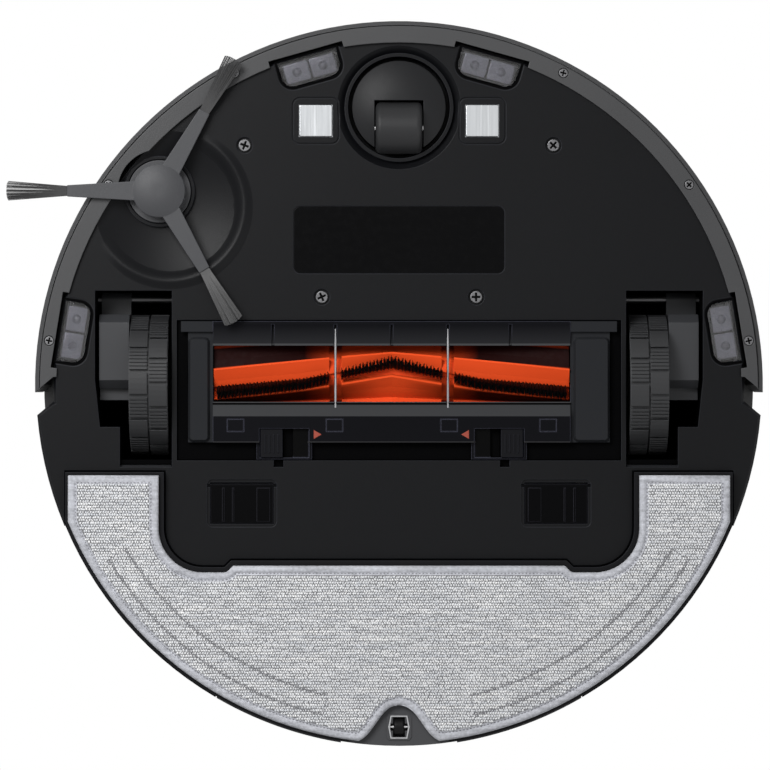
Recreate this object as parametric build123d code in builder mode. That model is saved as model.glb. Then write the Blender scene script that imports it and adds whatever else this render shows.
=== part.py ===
"""Round robot vacuum with a slide-on mop, a laser turret and two sprung drive wheels.

Millimetres. The origin is on the floor under the body's axis, +Z is up and the front is -Y.
Left and right are the machine's own: its left side is +X, its right side -X.
"""

import os
from math import cos, radians, sin, sqrt

from build123d import *

os.makedirs("parts", exist_ok=True)

# Body
body_radius = 174.5
body_height = 79.0
ground_clearance = 10.5
floor_thickness = 3.0
rim_height = 7.5
rim_wall = 3.0
rim_chamfer = 1.2
shell_wall = 2.5
roof_thickness = 3.0
top_fillet = 5.0
shoulder_y = 7.9
shoulder_slope = 0.83

# Fits: a pin in its bearing, two fixed pieces, two moving pieces, all per side
running_gap = 0.05
seat_gap = 0.3
moving_gap = 0.6

# Bumper
bumper_step = 0.5
bumper_wall = 4.2
bumper_travel = 4.0
bumper_clear = 0.8
bumper_height = 58.8
bumper_end_gap = 11.8
bumper_chamfer = 2.0
flange_width = 7.8
flange_thickness = 2.0
flange_groove = 2.7
rim_line_width = 0.7
rim_line_depth = 1.2
bumper_window_angle = 56.0
bumper_window_height = 18.0
bumper_window_depth = 1.5
bumper_screw_angles = (27.8, 55.4, 82.8)
bumper_screw_inset = 5.7
small_head_radius = 2.2
small_head_depth = 1.2
small_shank_radius = 1.0
small_shank_length = 7.0

# Underside: drop sensors, charging contacts, screws and blank plate
window_angles = (-80.8, -15.7, 15.7, 80.8)
window_inset = 8.0
window_width = 28.8
window_depth = 12.4
window_corner = 5.5
window_recess = 0.5
window_surround = 2.0
sensor_height = 8.0
contact_x = 40.0
contact_y = -127.0
contact_width = 15.8
contact_depth = 15.1
contact_proud = 0.4
contact_frame = 23.0
contact_groove = 0.9
contact_corner = 4.0
screw_points = ((-74.2, -115.2), (74.2, -115.2), (-37.1, -42.3), (37.1, -42.3))
head_radius = 3.0
head_depth = 1.4
head_sink = 0.4
shank_radius = 1.5
shank_length = 9.0
counterbore_radius = 4.0
boss_radius = 4.6
plate_width = 101.7
plate_length = 32.7
plate_y = -69.8
plate_corner = 3.4
plate_sink = 0.4

# Caster
caster_rim_gap = 0.5
caster_trail = 9.8
caster_wheel_radius = 12.5
caster_wheel_width = 22.4
caster_wheel_rounding = 2.6
caster_axle_radius = 1.5
caster_dome_radius = 22.4
caster_dome_drop = 4.5
caster_dome_roof = 5.0
caster_stem_radius = 4.0
caster_stem_length = 10.0
caster_ring_wall = 1.6
caster_flange = 3.0
caster_cone_width = 4.4

# Side brush
side_brush_x = -115.2
side_brush_y = -93.1
side_brush_reach = 73.4
side_arm_reach = 43.8
side_arm_width = 5.4
side_arm_root_width = 9.0
side_arm_thickness = 3.0
side_arm_height = 4.6
side_cap_radius = 12.6
hub_flat = 2.0
hub_bulge = 2.0
side_base_radius = 15.0
side_collar_wall = 1.3
side_shaft_radius = 3.0
side_shaft_length = 8.0
dish_x = -110.0
dish_y = -86.0
dish_radius = 36.0
dish_wall = 1.5
dish_depth = 6.0
tuft_rows = 4
tuft_columns = 6
tuft_strand = 0.32
tuft_tip_height = 2.0

# Drive wheels, as on the left side
wheel_radius = 34.0
tyre_inner = 110.9
tyre_width = 18.6
tyre_thickness = 6.0
tread_blocks = 18
tread_depth = 1.6
tread_slot = 1.7
tread_groove = 1.0
axle_radius = 3.0
arm_gap = 0.4
arm_width = 14.4
arm_back = 1.6
arm_lip_back = 7.3
arm_drop = 19.0
arm_rise = 20.0
arm_bevel = 4.0
pivot_clear = 7.5
pivot_rise = 6.0
pivot_radius = 2.0
pivot_ear_radius = 3.5
well_inner = 109.1
well_outer = 146.1
well_front_clear = 3.9
well_back_clear = 5.4
well_step_x = 134.1
well_step_y = 20.2
well_taper = 2.4
case_wall = 2.0
case_clear = 2.0
case_rise = 5.0
stop_bar_back = 3.8
stop_bar_rise = 21.5
stop_bar_radius = 1.6

# Main brush and its cover
roller_y = -5.0
roller_z = 26.5
cover_x = -3.5
roller_end_gap = 0.4
core_radius = 14.0
blade_radius = 18.2
bristle_radius = 21.0
bristle_rows = 4
row_turns = (-19.0, 14.0, 30.0)
blade_turns = ((1.0, 23.0, 40.0), (53.0, 67.0, 81.0))
crease_turns = ((23.0, 45.0, 62.0), (64.0, 87.0, 103.0))
roller_stations = 4
blade_root_angle = 2.0
blade_tip_angle = 2.5
crease_radius = 14.6
strip_half_angle = 5.0
strip_clear_angle = 2.2
strip_depth = 1.4
roller_strand = 0.8
strand_pitch = 2.15
journal_radius = 4.0
journal_length = 9.0
wire_offset = 27.0
wire_radius = 0.6
wire_z = 9.2
wire_notch = 6.0
wire_front = -27.0
wire_back = 11.0
pocket_half = 106.75
pocket_margin = 2.2
pocket_back = 36.3
cover_bottom = 7.6
cover_top = 12.5
opening_half = 85.8
brush_gap = 0.9
ramp_grooves = (-57.0, -27.0, 0.0, 27.0, 57.0)
ramp_groove_width = 1.4
ramp_groove_depth = 0.8
side_member_end = 101.3
side_member_gap = 1.5
side_member_front = -23.0
side_member_back = 27.5
side_member_corner = 2.6
side_member_draft = 25.0
latch_frame = 1.4
ramp_nose = 1.5
lip_step = 0.9
rear_bevel = 15.0
rear_step = 27.6
bracket_back = -25.5
square_places = (27.5, 75.0)
square_y = 19.3
square_width = 8.2
square_length = 6.2
bearing_half = 8.0
bearing_cover = 7.5
chamber_gap = 3.0
housing_wall = 2.5
duct_half = 40.0
duct_low = 32.0
duct_high = 44.0
latch_outer = 63.5
latch_inner = 39.7
latch_split = 47.4
latch_front = 20.9
latch_back = 34.9
latch_pad_width = 10.4
latch_travel = 4.0
latch_sink = 1.0
tongue_width = 6.0
tongue_z = 12.0
tongue_thickness = 1.2
tongue_reach = 2.5

# Emptying ports
port_x = 75.5
port_y = 56.8
port_width = 30.6
port_length = 20.0
port_frame = 1.5
port_frame_depth = 1.0
port_frame_corner = 2.8
flap_thickness = 1.5
flap_pin_radius = 0.8
flap_pin_length = 1.4
flap_rib_height = 0.5
flap_ribs = ((-9.4, -8.4), (-4.6, -3.8), (7.2, 13.4))
flap_rib_margin = 1.2

# Mop module
bay_half = 160.8
bay_strip = 1.6
bay_roof = 17.5
platform_half = 112.0
platform_back = 86.6
platform_step_half = 84.0
platform_step = 3.2
platform_corner = 18.0
mop_edge_inset = 1.5
mop_gap = 0.8
mop_pad_thickness = 4.8
mop_plate_thickness = 2.8
mop_plate_wall = 2.4
pad_inset = 1.5
pad_inner_inset = 3.2
pad_notch_half = 23.3
pad_notch_top = 153.3
pad_notch_foot = 171.2
tank_half = 87.8
tank_front = 97.2
tank_top = 42.0
guide_y = 164.0
guide_z = 7.4
guide_radius = 4.4
guide_width = 5.0
rib_x = 60.0
rib_back = 158.0
grip_half = 28.0
grip_depth = 7.0
grip_height = 9.0
guide_axle_radius = 0.9
guide_pocket = 6.2
guide_wall = 2.0
guide_height = 13.0

# Top: turret, lid, buttons
turret_y = -25.0
turret_radius = 46.0
turret_rise = 18.0
turret_base_height = 4.0
turret_cap_thickness = 5.0
turret_skirt_radius = 39.5
turret_skirt_depth = 9.0
turret_wall = 2.5
turret_post_radius = 2.2
turret_post_inset = 3.6
turret_posts_count = 5
turret_post_turn = 18.0
lidar_radius = 30.0
lidar_shaft_radius = 4.0
lidar_lens_radius = 3.0
lidar_lens_x = 10.0
lid_front = 26.0
lid_radius = 148.0
lid_thickness = 3.0
lid_corner = 3.0
lid_chamfer = 0.8
lid_gap = 0.9
lid_ledge = 4.0
lid_hinge_inset = 5.0
lid_pin_radius = 1.0
lid_pin_length = 4.0
lid_grip_width = 46.0
lid_grip_length = 12.0
lid_grip_depth = 1.4
lid_grip_inset = 14.0
button_x = 13.0
button_y = -118.0
button_radius = 7.0
button_flange = 2.0
button_proud = 0.5

# Inside
dust_half = 95.0
dust_front = 44.0
dust_back = 91.0
dust_bottom = 22.0
dust_top = 69.0
dust_wall = 2.0
dust_cover_thickness = 3.0
filter_length = 34.0
filter_height = 22.0
filter_low = 34.0
filter_depth = 8.0
filter_pleats = 9
duct_wall = 2.0
fan_x = 124.0
fan_y = 66.0
fan_radius = 24.0
fan_height = 40.0
battery_half = 66.0
battery_gap = 1.3
battery_back = -62.0
battery_height = 30.0
board_thickness = 1.6
board_chips = (-52.0, -10.0, 34.0)
chip_size = 16.0
motor_y = -47.0
motor_z = 38.0
motor_radius = 11.0
motor_right = 20.0
motor_length = 55.0
gearbox_width = 38.0
gearbox_length = 44.0
gearbox_height = 26.0
gearbox_margin = 9.0
vent_slots = 12
vent_angle = 55.0
vent_pitch = 2.4
vent_width = 2.2
vent_height = 14.0
vent_z = 56.0

# Levels and radii that follow from the sizes above
underside = ground_clearance
floor_top = underside + floor_thickness
rim_top = underside + rim_height
roof_under = body_height - roof_thickness
bumper_radius = body_radius + bumper_step
bumper_inner = bumper_radius - bumper_wall
chassis_radius = bumper_inner - bumper_travel - bumper_clear
flange_top = underside - seat_gap
bumper_top = flange_top + bumper_height
window_radius = chassis_radius - window_inset
bay_top = bay_roof + roof_thickness
tank_bay_top = tank_top + moving_gap
mop_radius = body_radius - mop_edge_inset
wheel_z = wheel_radius
pivot_y = -wheel_radius - pivot_clear
pivot_z = wheel_z + pivot_rise
arm_front = -wheel_radius
arm_bottom = wheel_z - arm_drop
arm_top = wheel_z + arm_rise
stop_bar_y = pivot_y + stop_bar_back
stop_bar_z = wheel_z + stop_bar_rise
case_top = 2 * wheel_radius + case_rise
well_front = pivot_y - well_front_clear
well_back = wheel_radius + well_back_clear
bay_front = well_back + bay_strip
turret_height = body_height + turret_rise
roller_half = opening_half - roller_end_gap
brush_reach = max(bristle_radius, blade_radius)
chamber_radius = brush_reach + chamber_gap
bearing_top = roller_z + bearing_cover
pocket_front = roller_y - chamber_radius - pocket_margin
plate_low = cover_top - shell_wall
lip_z = plate_low - moving_gap
opening_front = roller_y - brush_gap - sqrt(brush_reach**2 - (roller_z - plate_low) ** 2)
opening_back = roller_y + brush_gap + sqrt(brush_reach**2 - (roller_z - lip_z) ** 2)
inner_chord = sqrt(brush_reach**2 - (roller_z - cover_top) ** 2)
ramp_edge = roller_y - brush_gap - inner_chord
lip_edge = roller_y + brush_gap + inner_chord
caster_dome_top = 2 * caster_wheel_radius + caster_dome_roof
side_collar_radius = side_base_radius + moving_gap + side_collar_wall
caster_corner = caster_wheel_width / 2 - caster_wheel_rounding
caster_sweep = sqrt(caster_corner**2 + (caster_trail + caster_wheel_radius) ** 2)
caster_well = caster_sweep + moving_gap
caster_ring_radius = caster_well + caster_ring_wall
caster_cone_radius = caster_ring_radius + caster_cone_width
caster_y = caster_ring_radius + caster_flange + caster_rim_gap + rim_wall - chassis_radius
battery_front = caster_y + caster_ring_radius + caster_flange + battery_gap
screw_seat = underside + head_sink + head_depth
hub_top = underside + dish_depth - 2 * moving_gap
far = 2 * body_radius


def save(piece, label):
    """Name a finished piece and write it."""
    piece.part.label = label
    export_step(piece.part, f"parts/{label}.step")


def block(x_range, y_range, z_range, mode=Mode.ADD):
    """A box between two values on each axis."""
    ranges = (x_range, y_range, z_range)
    middle = [(low + high) / 2 for low, high in ranges]
    with Locations(tuple(middle)):
        Box(*[high - low for low, high in ranges], mode=mode)


def rod(centre, radius, length, mode=Mode.ADD):
    """A cylinder along X about its centre."""
    with Locations(Location(centre, (0, 90, 0))):
        Cylinder(radius, length, mode=mode)


def sided(side, low, high):
    """A span across the body on one side: +1 is left, -1 right."""
    return (low, high) if side > 0 else (-high, -low)


def from_cover(side, low, high):
    """The same, measured from the middle of the brush cover."""
    return tuple(cover_x + x for x in sided(side, low, high))


def behind_line(start_y):
    """The half plane behind the slanted shoulder line that starts at a given Y."""
    end_y = start_y + (far - chassis_radius) * shoulder_slope
    with BuildSketch() as area:
        with BuildLine():
            Polyline(
                (-chassis_radius, start_y),
                (chassis_radius, start_y),
                (far, end_y),
                (far, far),
                (-far, far),
                (-far, end_y),
                close=True,
            )
        make_face()
    return area.sketch


def body_outline():
    """Round body, stepped in at the front where the bumper goes."""
    with BuildSketch() as rear:
        Circle(body_radius)
        add(behind_line(shoulder_y), mode=Mode.INTERSECT)
    with BuildSketch() as outline_sketch:
        Circle(chassis_radius)
        add(rear.sketch)
    return outline_sketch.sketch


def bumper_sector(inner, outer):
    """Front half ring that ends ahead of the body's shoulders."""
    with BuildSketch() as ring:
        Circle(outer)
        Circle(inner, mode=Mode.SUBTRACT)
        add(behind_line(shoulder_y - bumper_end_gap), mode=Mode.SUBTRACT)
    return ring.sketch


def wheel_well(side):
    """Outline of the opening that a drive wheel drops through."""
    with BuildSketch() as well:
        with BuildLine():
            Polyline(
                (side * well_outer, well_front),
                (side * well_inner, well_front),
                (side * well_inner, well_back),
                (side * well_step_x, well_back),
                (side * well_step_x, well_step_y),
                (side * (well_outer - well_taper), well_step_y),
                (side * well_outer, -well_taper),
                close=True,
            )
        make_face()
    return well.sketch


def platform_outline():
    """Rounded tail of the floor that the mop's two arms go round."""
    middle_back = platform_back - platform_step
    with BuildSketch() as platform:
        with BuildLine():
            Polyline(
                (-platform_half, 0),
                (platform_half, 0),
                (platform_half, platform_back),
                (platform_step_half, platform_back),
                (platform_step_half - platform_step, middle_back),
                (platform_step - platform_step_half, middle_back),
                (-platform_step_half, platform_back),
                (-platform_half, platform_back),
                close=True,
            )
        make_face()
        tips = platform.vertices().group_by(Axis.Y)[-1]
        fillet([tip for tip in tips if abs(tip.X) > platform_step_half + 1], platform_corner)
    return platform.sketch


def sensor_window(grow):
    """Drop-sensor window: straight towards the rim, round towards the middle."""
    with BuildSketch() as window:
        Rectangle(window_width + 2 * grow, window_depth + 2 * grow)
        inner = window.vertices().group_by(Axis.Y)[-1]
        fillet(inner, window_corner + grow)
    return window.sketch


def window_places(height):
    """The four window positions at one height, turned to face the rim."""
    return [
        Location(
            (window_radius * sin(radians(a)), -window_radius * cos(radians(a)), height), (0, 0, a)
        )
        for a in window_angles
    ]


def screw_places(height):
    """The six bumper screw positions at one height."""
    reach = bumper_radius - bumper_screw_inset
    angles = [side * a for side in (-1, 1) for a in bumper_screw_angles]
    return [
        Location((reach * sin(radians(a)), -reach * cos(radians(a)), height)) for a in angles
    ]


outline = body_outline()
inner_outline = offset(outline, -rim_wall, kind=Kind.INTERSECTION)
shell_inner = offset(outline, -shell_wall, kind=Kind.INTERSECTION)
wells = {side: wheel_well(side) for side in (-1, 1)}
platform_face = platform_outline()
platform_inner = offset(platform_face, -shell_wall)

# Space under the floor that the mop module fills, open to the back
with BuildSketch() as bay_sketch:
    with Locations((0, (bay_front + far) / 2)):
        Rectangle(2 * bay_half, far - bay_front)
    add(platform_face, mode=Mode.SUBTRACT)

# The same space with its walls
with BuildSketch() as bay_walls:
    bay_wall_front = bay_front - shell_wall
    with Locations((0, (bay_wall_front + far) / 2)):
        Rectangle(2 * (bay_half + shell_wall), far - bay_wall_front)
    add(platform_inner, mode=Mode.SUBTRACT)
    add(inner_outline, mode=Mode.INTERSECT)

# Box for the water tank
with BuildSketch() as tank_walls:
    tank_wall_front = tank_front - moving_gap - shell_wall
    with Locations((0, (tank_wall_front + far) / 2)):
        Rectangle(2 * (tank_half + moving_gap + shell_wall), far - tank_wall_front)
    add(inner_outline, mode=Mode.INTERSECT)

# Round boss over the side brush's dish
with BuildSketch() as dish_boss:
    with Locations((dish_x, dish_y)):
        Circle(dish_radius + dish_wall)
    add(inner_outline, mode=Mode.INTERSECT)

# Bottom cover with all its pockets
dish_sphere = (dish_radius**2 + dish_depth**2) / (2 * dish_depth)
dish_roof = underside + dish_depth + floor_thickness
with BuildPart() as lower_chassis:
    with BuildSketch(Plane.XY.offset(underside)):
        add(outline)
    extrude(amount=rim_height)
    chamfer(lower_chassis.faces().sort_by(Axis.Z)[0].edges(), rim_chamfer)
    with BuildSketch(Plane.XY.offset(floor_top)):
        add(inner_outline)
    extrude(amount=rim_height, mode=Mode.SUBTRACT)
    with BuildSketch(Plane.XY.offset(floor_top)):
        add(bay_walls.sketch)
    extrude(amount=bay_top - floor_top)
    with BuildSketch(Plane.XY.offset(bay_roof)):
        add(tank_walls.sketch)
    extrude(amount=tank_bay_top + shell_wall - bay_roof)
    with BuildSketch(Plane.XY):
        add(bay_sketch.sketch)
    extrude(amount=bay_roof, mode=Mode.SUBTRACT)
    tank_slot = tank_half + moving_gap
    block((-tank_slot, tank_slot), (tank_front - moving_gap, far), (0, tank_bay_top), Mode.SUBTRACT)
    with BuildSketch(Plane.XY.offset(floor_top)):
        add(dish_boss.sketch)
    extrude(amount=dish_roof - floor_top)
    with Locations((dish_x, dish_y, underside + dish_depth - dish_sphere)):
        Sphere(dish_sphere, rotation=(90, 0, 0), mode=Mode.SUBTRACT)
    with BuildSketch(Plane.XY.offset(underside + rim_wall)):
        with Locations((side_brush_x, side_brush_y)):
            Circle(side_collar_radius)
            Circle(side_base_radius + moving_gap, mode=Mode.SUBTRACT)
    extrude(amount=dish_depth - rim_wall)
    with Locations((side_brush_x, side_brush_y, 0)):
        Cylinder(side_base_radius + moving_gap, 2 * (hub_top + moving_gap), mode=Mode.SUBTRACT)
        Cylinder(side_shaft_radius + moving_gap, 4 * dish_roof, mode=Mode.SUBTRACT)
    # Drive wheels and the roller brush go right through the floor
    with BuildSketch(Plane.XY):
        add(wells[-1])
        add(wells[1])
        with Locations((0, (pocket_front + pocket_back) / 2)):
            Rectangle(2 * pocket_half, pocket_back - pocket_front)
    extrude(amount=floor_top, mode=Mode.SUBTRACT)
    # Caster well with its slanted rim
    with Locations((0, caster_y, floor_top)):
        Cylinder(caster_ring_radius + seat_gap, 2 * floor_thickness, mode=Mode.SUBTRACT)
    with Locations((0, caster_y, underside + floor_thickness / 3)):
        Cone(
            caster_cone_radius,
            caster_ring_radius + seat_gap,
            floor_thickness,
            mode=Mode.SUBTRACT,
        )
    # Drop-sensor windows
    with BuildSketch(Plane.XY):
        with Locations(*window_places(0)):
            add(sensor_window(seat_gap / 2))
    extrude(amount=floor_top, mode=Mode.SUBTRACT)
    with BuildSketch(Plane.XY):
        with Locations(*window_places(0)):
            add(sensor_window(window_surround))
    extrude(amount=underside + window_recess, mode=Mode.SUBTRACT)
    # Charging contacts: a hole for the plate and a square groove round it
    with BuildSketch(Plane.XY):
        with Locations((-contact_x, contact_y), (contact_x, contact_y)):
            Rectangle(contact_width + 2 * seat_gap, contact_depth + 2 * seat_gap)
    extrude(amount=floor_top, mode=Mode.SUBTRACT)
    with BuildSketch(Plane.XY):
        with Locations((-contact_x, contact_y), (contact_x, contact_y)):
            RectangleRounded(contact_frame, contact_frame, contact_corner)
            groove_inner = contact_frame - 2 * contact_groove
            RectangleRounded(
                groove_inner, groove_inner, contact_corner - contact_groove, mode=Mode.SUBTRACT
            )
    extrude(amount=underside + contact_groove, mode=Mode.SUBTRACT)
    # Screw bosses and counterbores
    with Locations(*[(x, y, floor_top + shank_length / 2) for x, y in screw_points]):
        Cylinder(boss_radius, shank_length)
    with Locations(*[(x, y, 0) for x, y in screw_points]):
        Cylinder(
            counterbore_radius,
            2 * screw_seat,
            mode=Mode.SUBTRACT,
        )
        Cylinder(
            shank_radius + running_gap,
            2 * (screw_seat + shank_length + seat_gap),
            mode=Mode.SUBTRACT,
        )
    # Notches in the rim that let the bumper's screws slide back with it
    with BuildSketch(Plane.XY):
        with Locations(*screw_places(0)):
            with Locations((0, bumper_travel / 2)):
                notch_width = 2 * (small_shank_radius + moving_gap)
                SlotCenterToCenter(bumper_travel, notch_width, rotation=90)
    extrude(amount=rim_top, mode=Mode.SUBTRACT)
    # Shallow bed of the blank plate
    with BuildSketch(Plane.XY):
        with Locations((0, plate_y)):
            RectangleRounded(plate_width, plate_length, plate_corner)
    extrude(amount=underside + plate_sink, mode=Mode.SUBTRACT)
    # Emptying ports: a frame step, a through hole and sockets for the flap pins
    with BuildSketch(Plane.XY):
        with Locations((-port_x, port_y), (port_x, port_y)):
            RectangleRounded(
                port_width + 2 * port_frame, port_length + 2 * port_frame, port_frame_corner
            )
    extrude(amount=underside + port_frame_depth, mode=Mode.SUBTRACT)
    with BuildSketch(Plane.XY):
        with Locations((-port_x, port_y), (port_x, port_y)):
            Rectangle(port_width, port_length)
    extrude(amount=floor_top, mode=Mode.SUBTRACT)
    flap_axis_y = port_y - port_length / 2 + flap_thickness
    flap_axis_z = floor_top - flap_thickness
    for port in (-port_x, port_x):
        rod(
            (port, flap_axis_y, flap_axis_z),
            flap_pin_radius + running_gap,
            port_width + 2 * flap_pin_length,
            Mode.SUBTRACT,
        )
    # Bayonet slots for the two cover latches: closed below at rest, open where they slide to
    for side in (-1, 1):
        slot_back = pocket_back + tongue_reach + moving_gap
        slot_z = tongue_z - seat_gap
        slot_outer = latch_outer - seat_gap
        slot_inner = slot_outer - tongue_width - latch_travel - 2 * moving_gap
        notch_outer = slot_outer - tongue_width + moving_gap - latch_travel / 4
        block(
            from_cover(side, slot_inner, slot_outer),
            (pocket_back - moving_gap, slot_back),
            (slot_z, floor_top),
            Mode.SUBTRACT,
        )
        block(
            from_cover(side, slot_inner, notch_outer),
            (pocket_back - moving_gap, slot_back),
            (0, floor_top),
            Mode.SUBTRACT,
        )
save(lower_chassis, "lower_chassis")

# Lid over the dust box, with a hinge pin at each front corner
with BuildSketch() as lid_sketch:
    Circle(lid_radius)
    with Locations((0, (lid_front + far) / 2)):
        Rectangle(2 * far, far - lid_front, mode=Mode.INTERSECT)
    fillet(lid_sketch.vertices(), lid_corner)
lid_opening = offset(lid_sketch.sketch, lid_gap)
lid_tray = offset(lid_sketch.sketch, lid_gap + shell_wall)
lid_rest = offset(lid_sketch.sketch, -lid_ledge)
lid_axis_y = lid_front + lid_hinge_inset
lid_axis_z = body_height - lid_thickness * 2 / 3
lid_edge_x = sqrt(lid_radius**2 - lid_axis_y**2)
with BuildPart() as top_lid:
    with BuildSketch(Plane.XY.offset(body_height - lid_thickness)):
        add(lid_sketch.sketch)
    extrude(amount=lid_thickness)
    chamfer(top_lid.faces().sort_by(Axis.Z)[-1].edges(), lid_chamfer)
    for side in (-1, 1):
        pin_span = sided(side, lid_edge_x - lid_pin_length, lid_edge_x + lid_gap + shell_wall)
        rod(
            (sum(pin_span) / 2, lid_axis_y, lid_axis_z),
            lid_pin_radius,
            pin_span[1] - pin_span[0],
        )
    with BuildSketch(Plane.XY.offset(body_height)):
        with Locations((0, lid_radius - lid_grip_inset)):
            SlotOverall(lid_grip_width, lid_grip_length)
    extrude(amount=-lid_grip_depth, mode=Mode.SUBTRACT)
save(top_lid, "top_lid")

# Upper shell: side wall, top, tray under the lid, holes for turret, buttons and tank
deck_top = dust_top - dust_cover_thickness / 2
with BuildPart() as upper_shell:
    with BuildSketch(Plane.XY.offset(rim_top)):
        add(outline)
    extrude(amount=bumper_top + moving_gap - rim_top)
    with BuildSketch(Plane.XY.offset(bumper_top + moving_gap)):
        Circle(body_radius)
    extrude(amount=body_height - bumper_top - moving_gap)
    fillet(upper_shell.faces().sort_by(Axis.Z)[-1].edges(), top_fillet)
    with BuildSketch(Plane.XY.offset(rim_top)):
        add(shell_inner)
    extrude(amount=roof_under - rim_top, mode=Mode.SUBTRACT)
    with BuildSketch(Plane.XY.offset(deck_top - shell_wall)):
        add(lid_tray)
    extrude(amount=roof_under + roof_thickness / 3 - deck_top + shell_wall)
    with BuildSketch(Plane.XY.offset(deck_top)):
        add(lid_opening)
    extrude(amount=body_height, mode=Mode.SUBTRACT)
    # Ledge that the lid lies on, left out along its hinge
    with BuildSketch(Plane.XY.offset(roof_under - seat_gap - shell_wall)):
        add(lid_opening)
        add(lid_rest, mode=Mode.SUBTRACT)
        with Locations((0, lid_front)):
            Rectangle(2 * far, 4 * lid_hinge_inset, mode=Mode.SUBTRACT)
    extrude(amount=shell_wall)
    block(
        (-dust_half - moving_gap, dust_half + moving_gap),
        (dust_front - moving_gap, dust_back + moving_gap),
        (dust_bottom, deck_top),
        Mode.SUBTRACT,
    )
    rod(
        (0, lid_axis_y, lid_axis_z),
        lid_pin_radius + running_gap,
        2 * (lid_edge_x + lid_gap + shell_wall + seat_gap),
        Mode.SUBTRACT,
    )
    with Locations((0, turret_y, roof_under)):
        Cylinder(turret_skirt_radius + seat_gap, 4 * roof_thickness, mode=Mode.SUBTRACT)
    with Locations((-button_x, button_y, roof_under), (button_x, button_y, roof_under)):
        Cylinder(button_radius + seat_gap, 4 * roof_thickness, mode=Mode.SUBTRACT)
    block(
        (-tank_slot, tank_slot),
        (tank_front, far),
        (0, tank_bay_top),
        Mode.SUBTRACT,
    )
    # Exhaust slots on the left at the back
    vent_reach = body_radius - shell_wall / 2
    vents = [vent_angle + vent_pitch * (i - (vent_slots - 1) / 2) for i in range(vent_slots)]
    with Locations(
        *[
            Location((vent_reach * cos(radians(a)), vent_reach * sin(radians(a)), vent_z), (0, 0, a))
            for a in vents
        ]
    ):
        Box(4 * shell_wall, vent_width, vent_height, mode=Mode.SUBTRACT)
save(upper_shell, "upper_shell")

# Bumper: outer wall and the flange that laps under the floor's edge
flange_inner = bumper_radius - flange_groove - flange_width
with BuildPart() as bumper:
    with BuildSketch(Plane.XY.offset(flange_top)):
        add(bumper_sector(bumper_inner, bumper_radius))
    extrude(amount=bumper_height)
    lower_edges = bumper.faces().sort_by(Axis.Z)[0].edges().filter_by(GeomType.CIRCLE)
    chamfer(lower_edges.sort_by(SortBy.RADIUS)[-1], bumper_chamfer)
    with BuildSketch(Plane.XY.offset(flange_top - flange_thickness)):
        add(bumper_sector(flange_inner, bumper_radius - flange_groove))
    extrude(amount=flange_thickness)
    # Fine groove between the flange and the outer wall
    with BuildSketch(Plane.XY.offset(flange_top)):
        line_inner = bumper_radius - flange_groove
        add(bumper_sector(line_inner, line_inner + rim_line_width))
    extrude(amount=rim_line_depth, mode=Mode.SUBTRACT)
    # Room for the drop sensors and for the side brush
    for place in window_places(flange_top):
        with Locations(place):
            Box(
                window_width + 4 * window_surround,
                2 * (flange_inner + flange_width / 4 - window_radius),
                4 * flange_thickness,
                mode=Mode.SUBTRACT,
            )
    with Locations((side_brush_x, side_brush_y, flange_top)):
        Cylinder(side_collar_radius + rim_wall, 2 * flange_thickness, mode=Mode.SUBTRACT)
    # Bed of the dark front window
    with BuildSketch(Plane.XY.offset(flange_top + (bumper_height - bumper_window_height) / 2)):
        Circle(bumper_radius + 1)
        Circle(bumper_radius - bumper_window_depth, mode=Mode.SUBTRACT)
        half_chord = far * sin(radians(bumper_window_angle / 2))
        with BuildLine():
            Polyline(
                (0, 0),
                (half_chord, -far * cos(radians(bumper_window_angle / 2))),
                (-half_chord, -far * cos(radians(bumper_window_angle / 2))),
                close=True,
            )
        make_face(mode=Mode.INTERSECT)
    extrude(amount=bumper_window_height, mode=Mode.SUBTRACT)
    with Locations(*screw_places(flange_top - flange_thickness)):
        Cylinder(small_head_radius + seat_gap, 2 * small_head_depth, mode=Mode.SUBTRACT)
        Cylinder(small_shank_radius + running_gap, 3 * small_shank_length, mode=Mode.SUBTRACT)
save(bumper, "bumper")

# Dark window along the front of the bumper
with BuildPart() as bumper_window:
    window_low = flange_top + (bumper_height - bumper_window_height) / 2
    with BuildSketch(Plane.XY.offset(window_low + seat_gap)):
        Circle(bumper_radius)
        Circle(bumper_radius - bumper_window_depth, mode=Mode.SUBTRACT)
        window_half = radians(bumper_window_angle / 2) - seat_gap / bumper_radius
        with BuildLine():
            Polyline(
                (0, 0),
                (far * sin(window_half), -far * cos(window_half)),
                (-far * sin(window_half), -far * cos(window_half)),
                close=True,
            )
        make_face(mode=Mode.INTERSECT)
    extrude(amount=bumper_window_height - 2 * seat_gap)
save(bumper_window, "bumper_window")

# Six screws of the bumper flange
with BuildPart() as bumper_screws:
    head_top = flange_top - flange_thickness + small_head_depth
    with Locations(*screw_places(head_top)):
        Cylinder(
            small_head_radius,
            small_head_depth,
            align=(Align.CENTER, Align.CENTER, Align.MAX),
        )
        Cylinder(
            small_shank_radius,
            small_shank_length,
            align=(Align.CENTER, Align.CENTER, Align.MIN),
        )
save(bumper_screws, "bumper_screws")

# Four screws of the bottom cover
with BuildPart() as chassis_screws:
    with Locations(*[(x, y, screw_seat) for x, y in screw_points]):
        Cylinder(head_radius, head_depth, align=(Align.CENTER, Align.CENTER, Align.MAX))
        Cylinder(shank_radius, shank_length, align=(Align.CENTER, Align.CENTER, Align.MIN))
save(chassis_screws, "chassis_screws")

# Drop sensors: clear windows, and the sensor blocks that hold them from above
with BuildPart() as cliff_windows:
    with BuildSketch(Plane.XY.offset(underside + window_recess)):
        with Locations(*window_places(0)):
            add(sensor_window(0))
    extrude(amount=floor_top - underside - window_recess)
save(cliff_windows, "cliff_windows")

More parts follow.
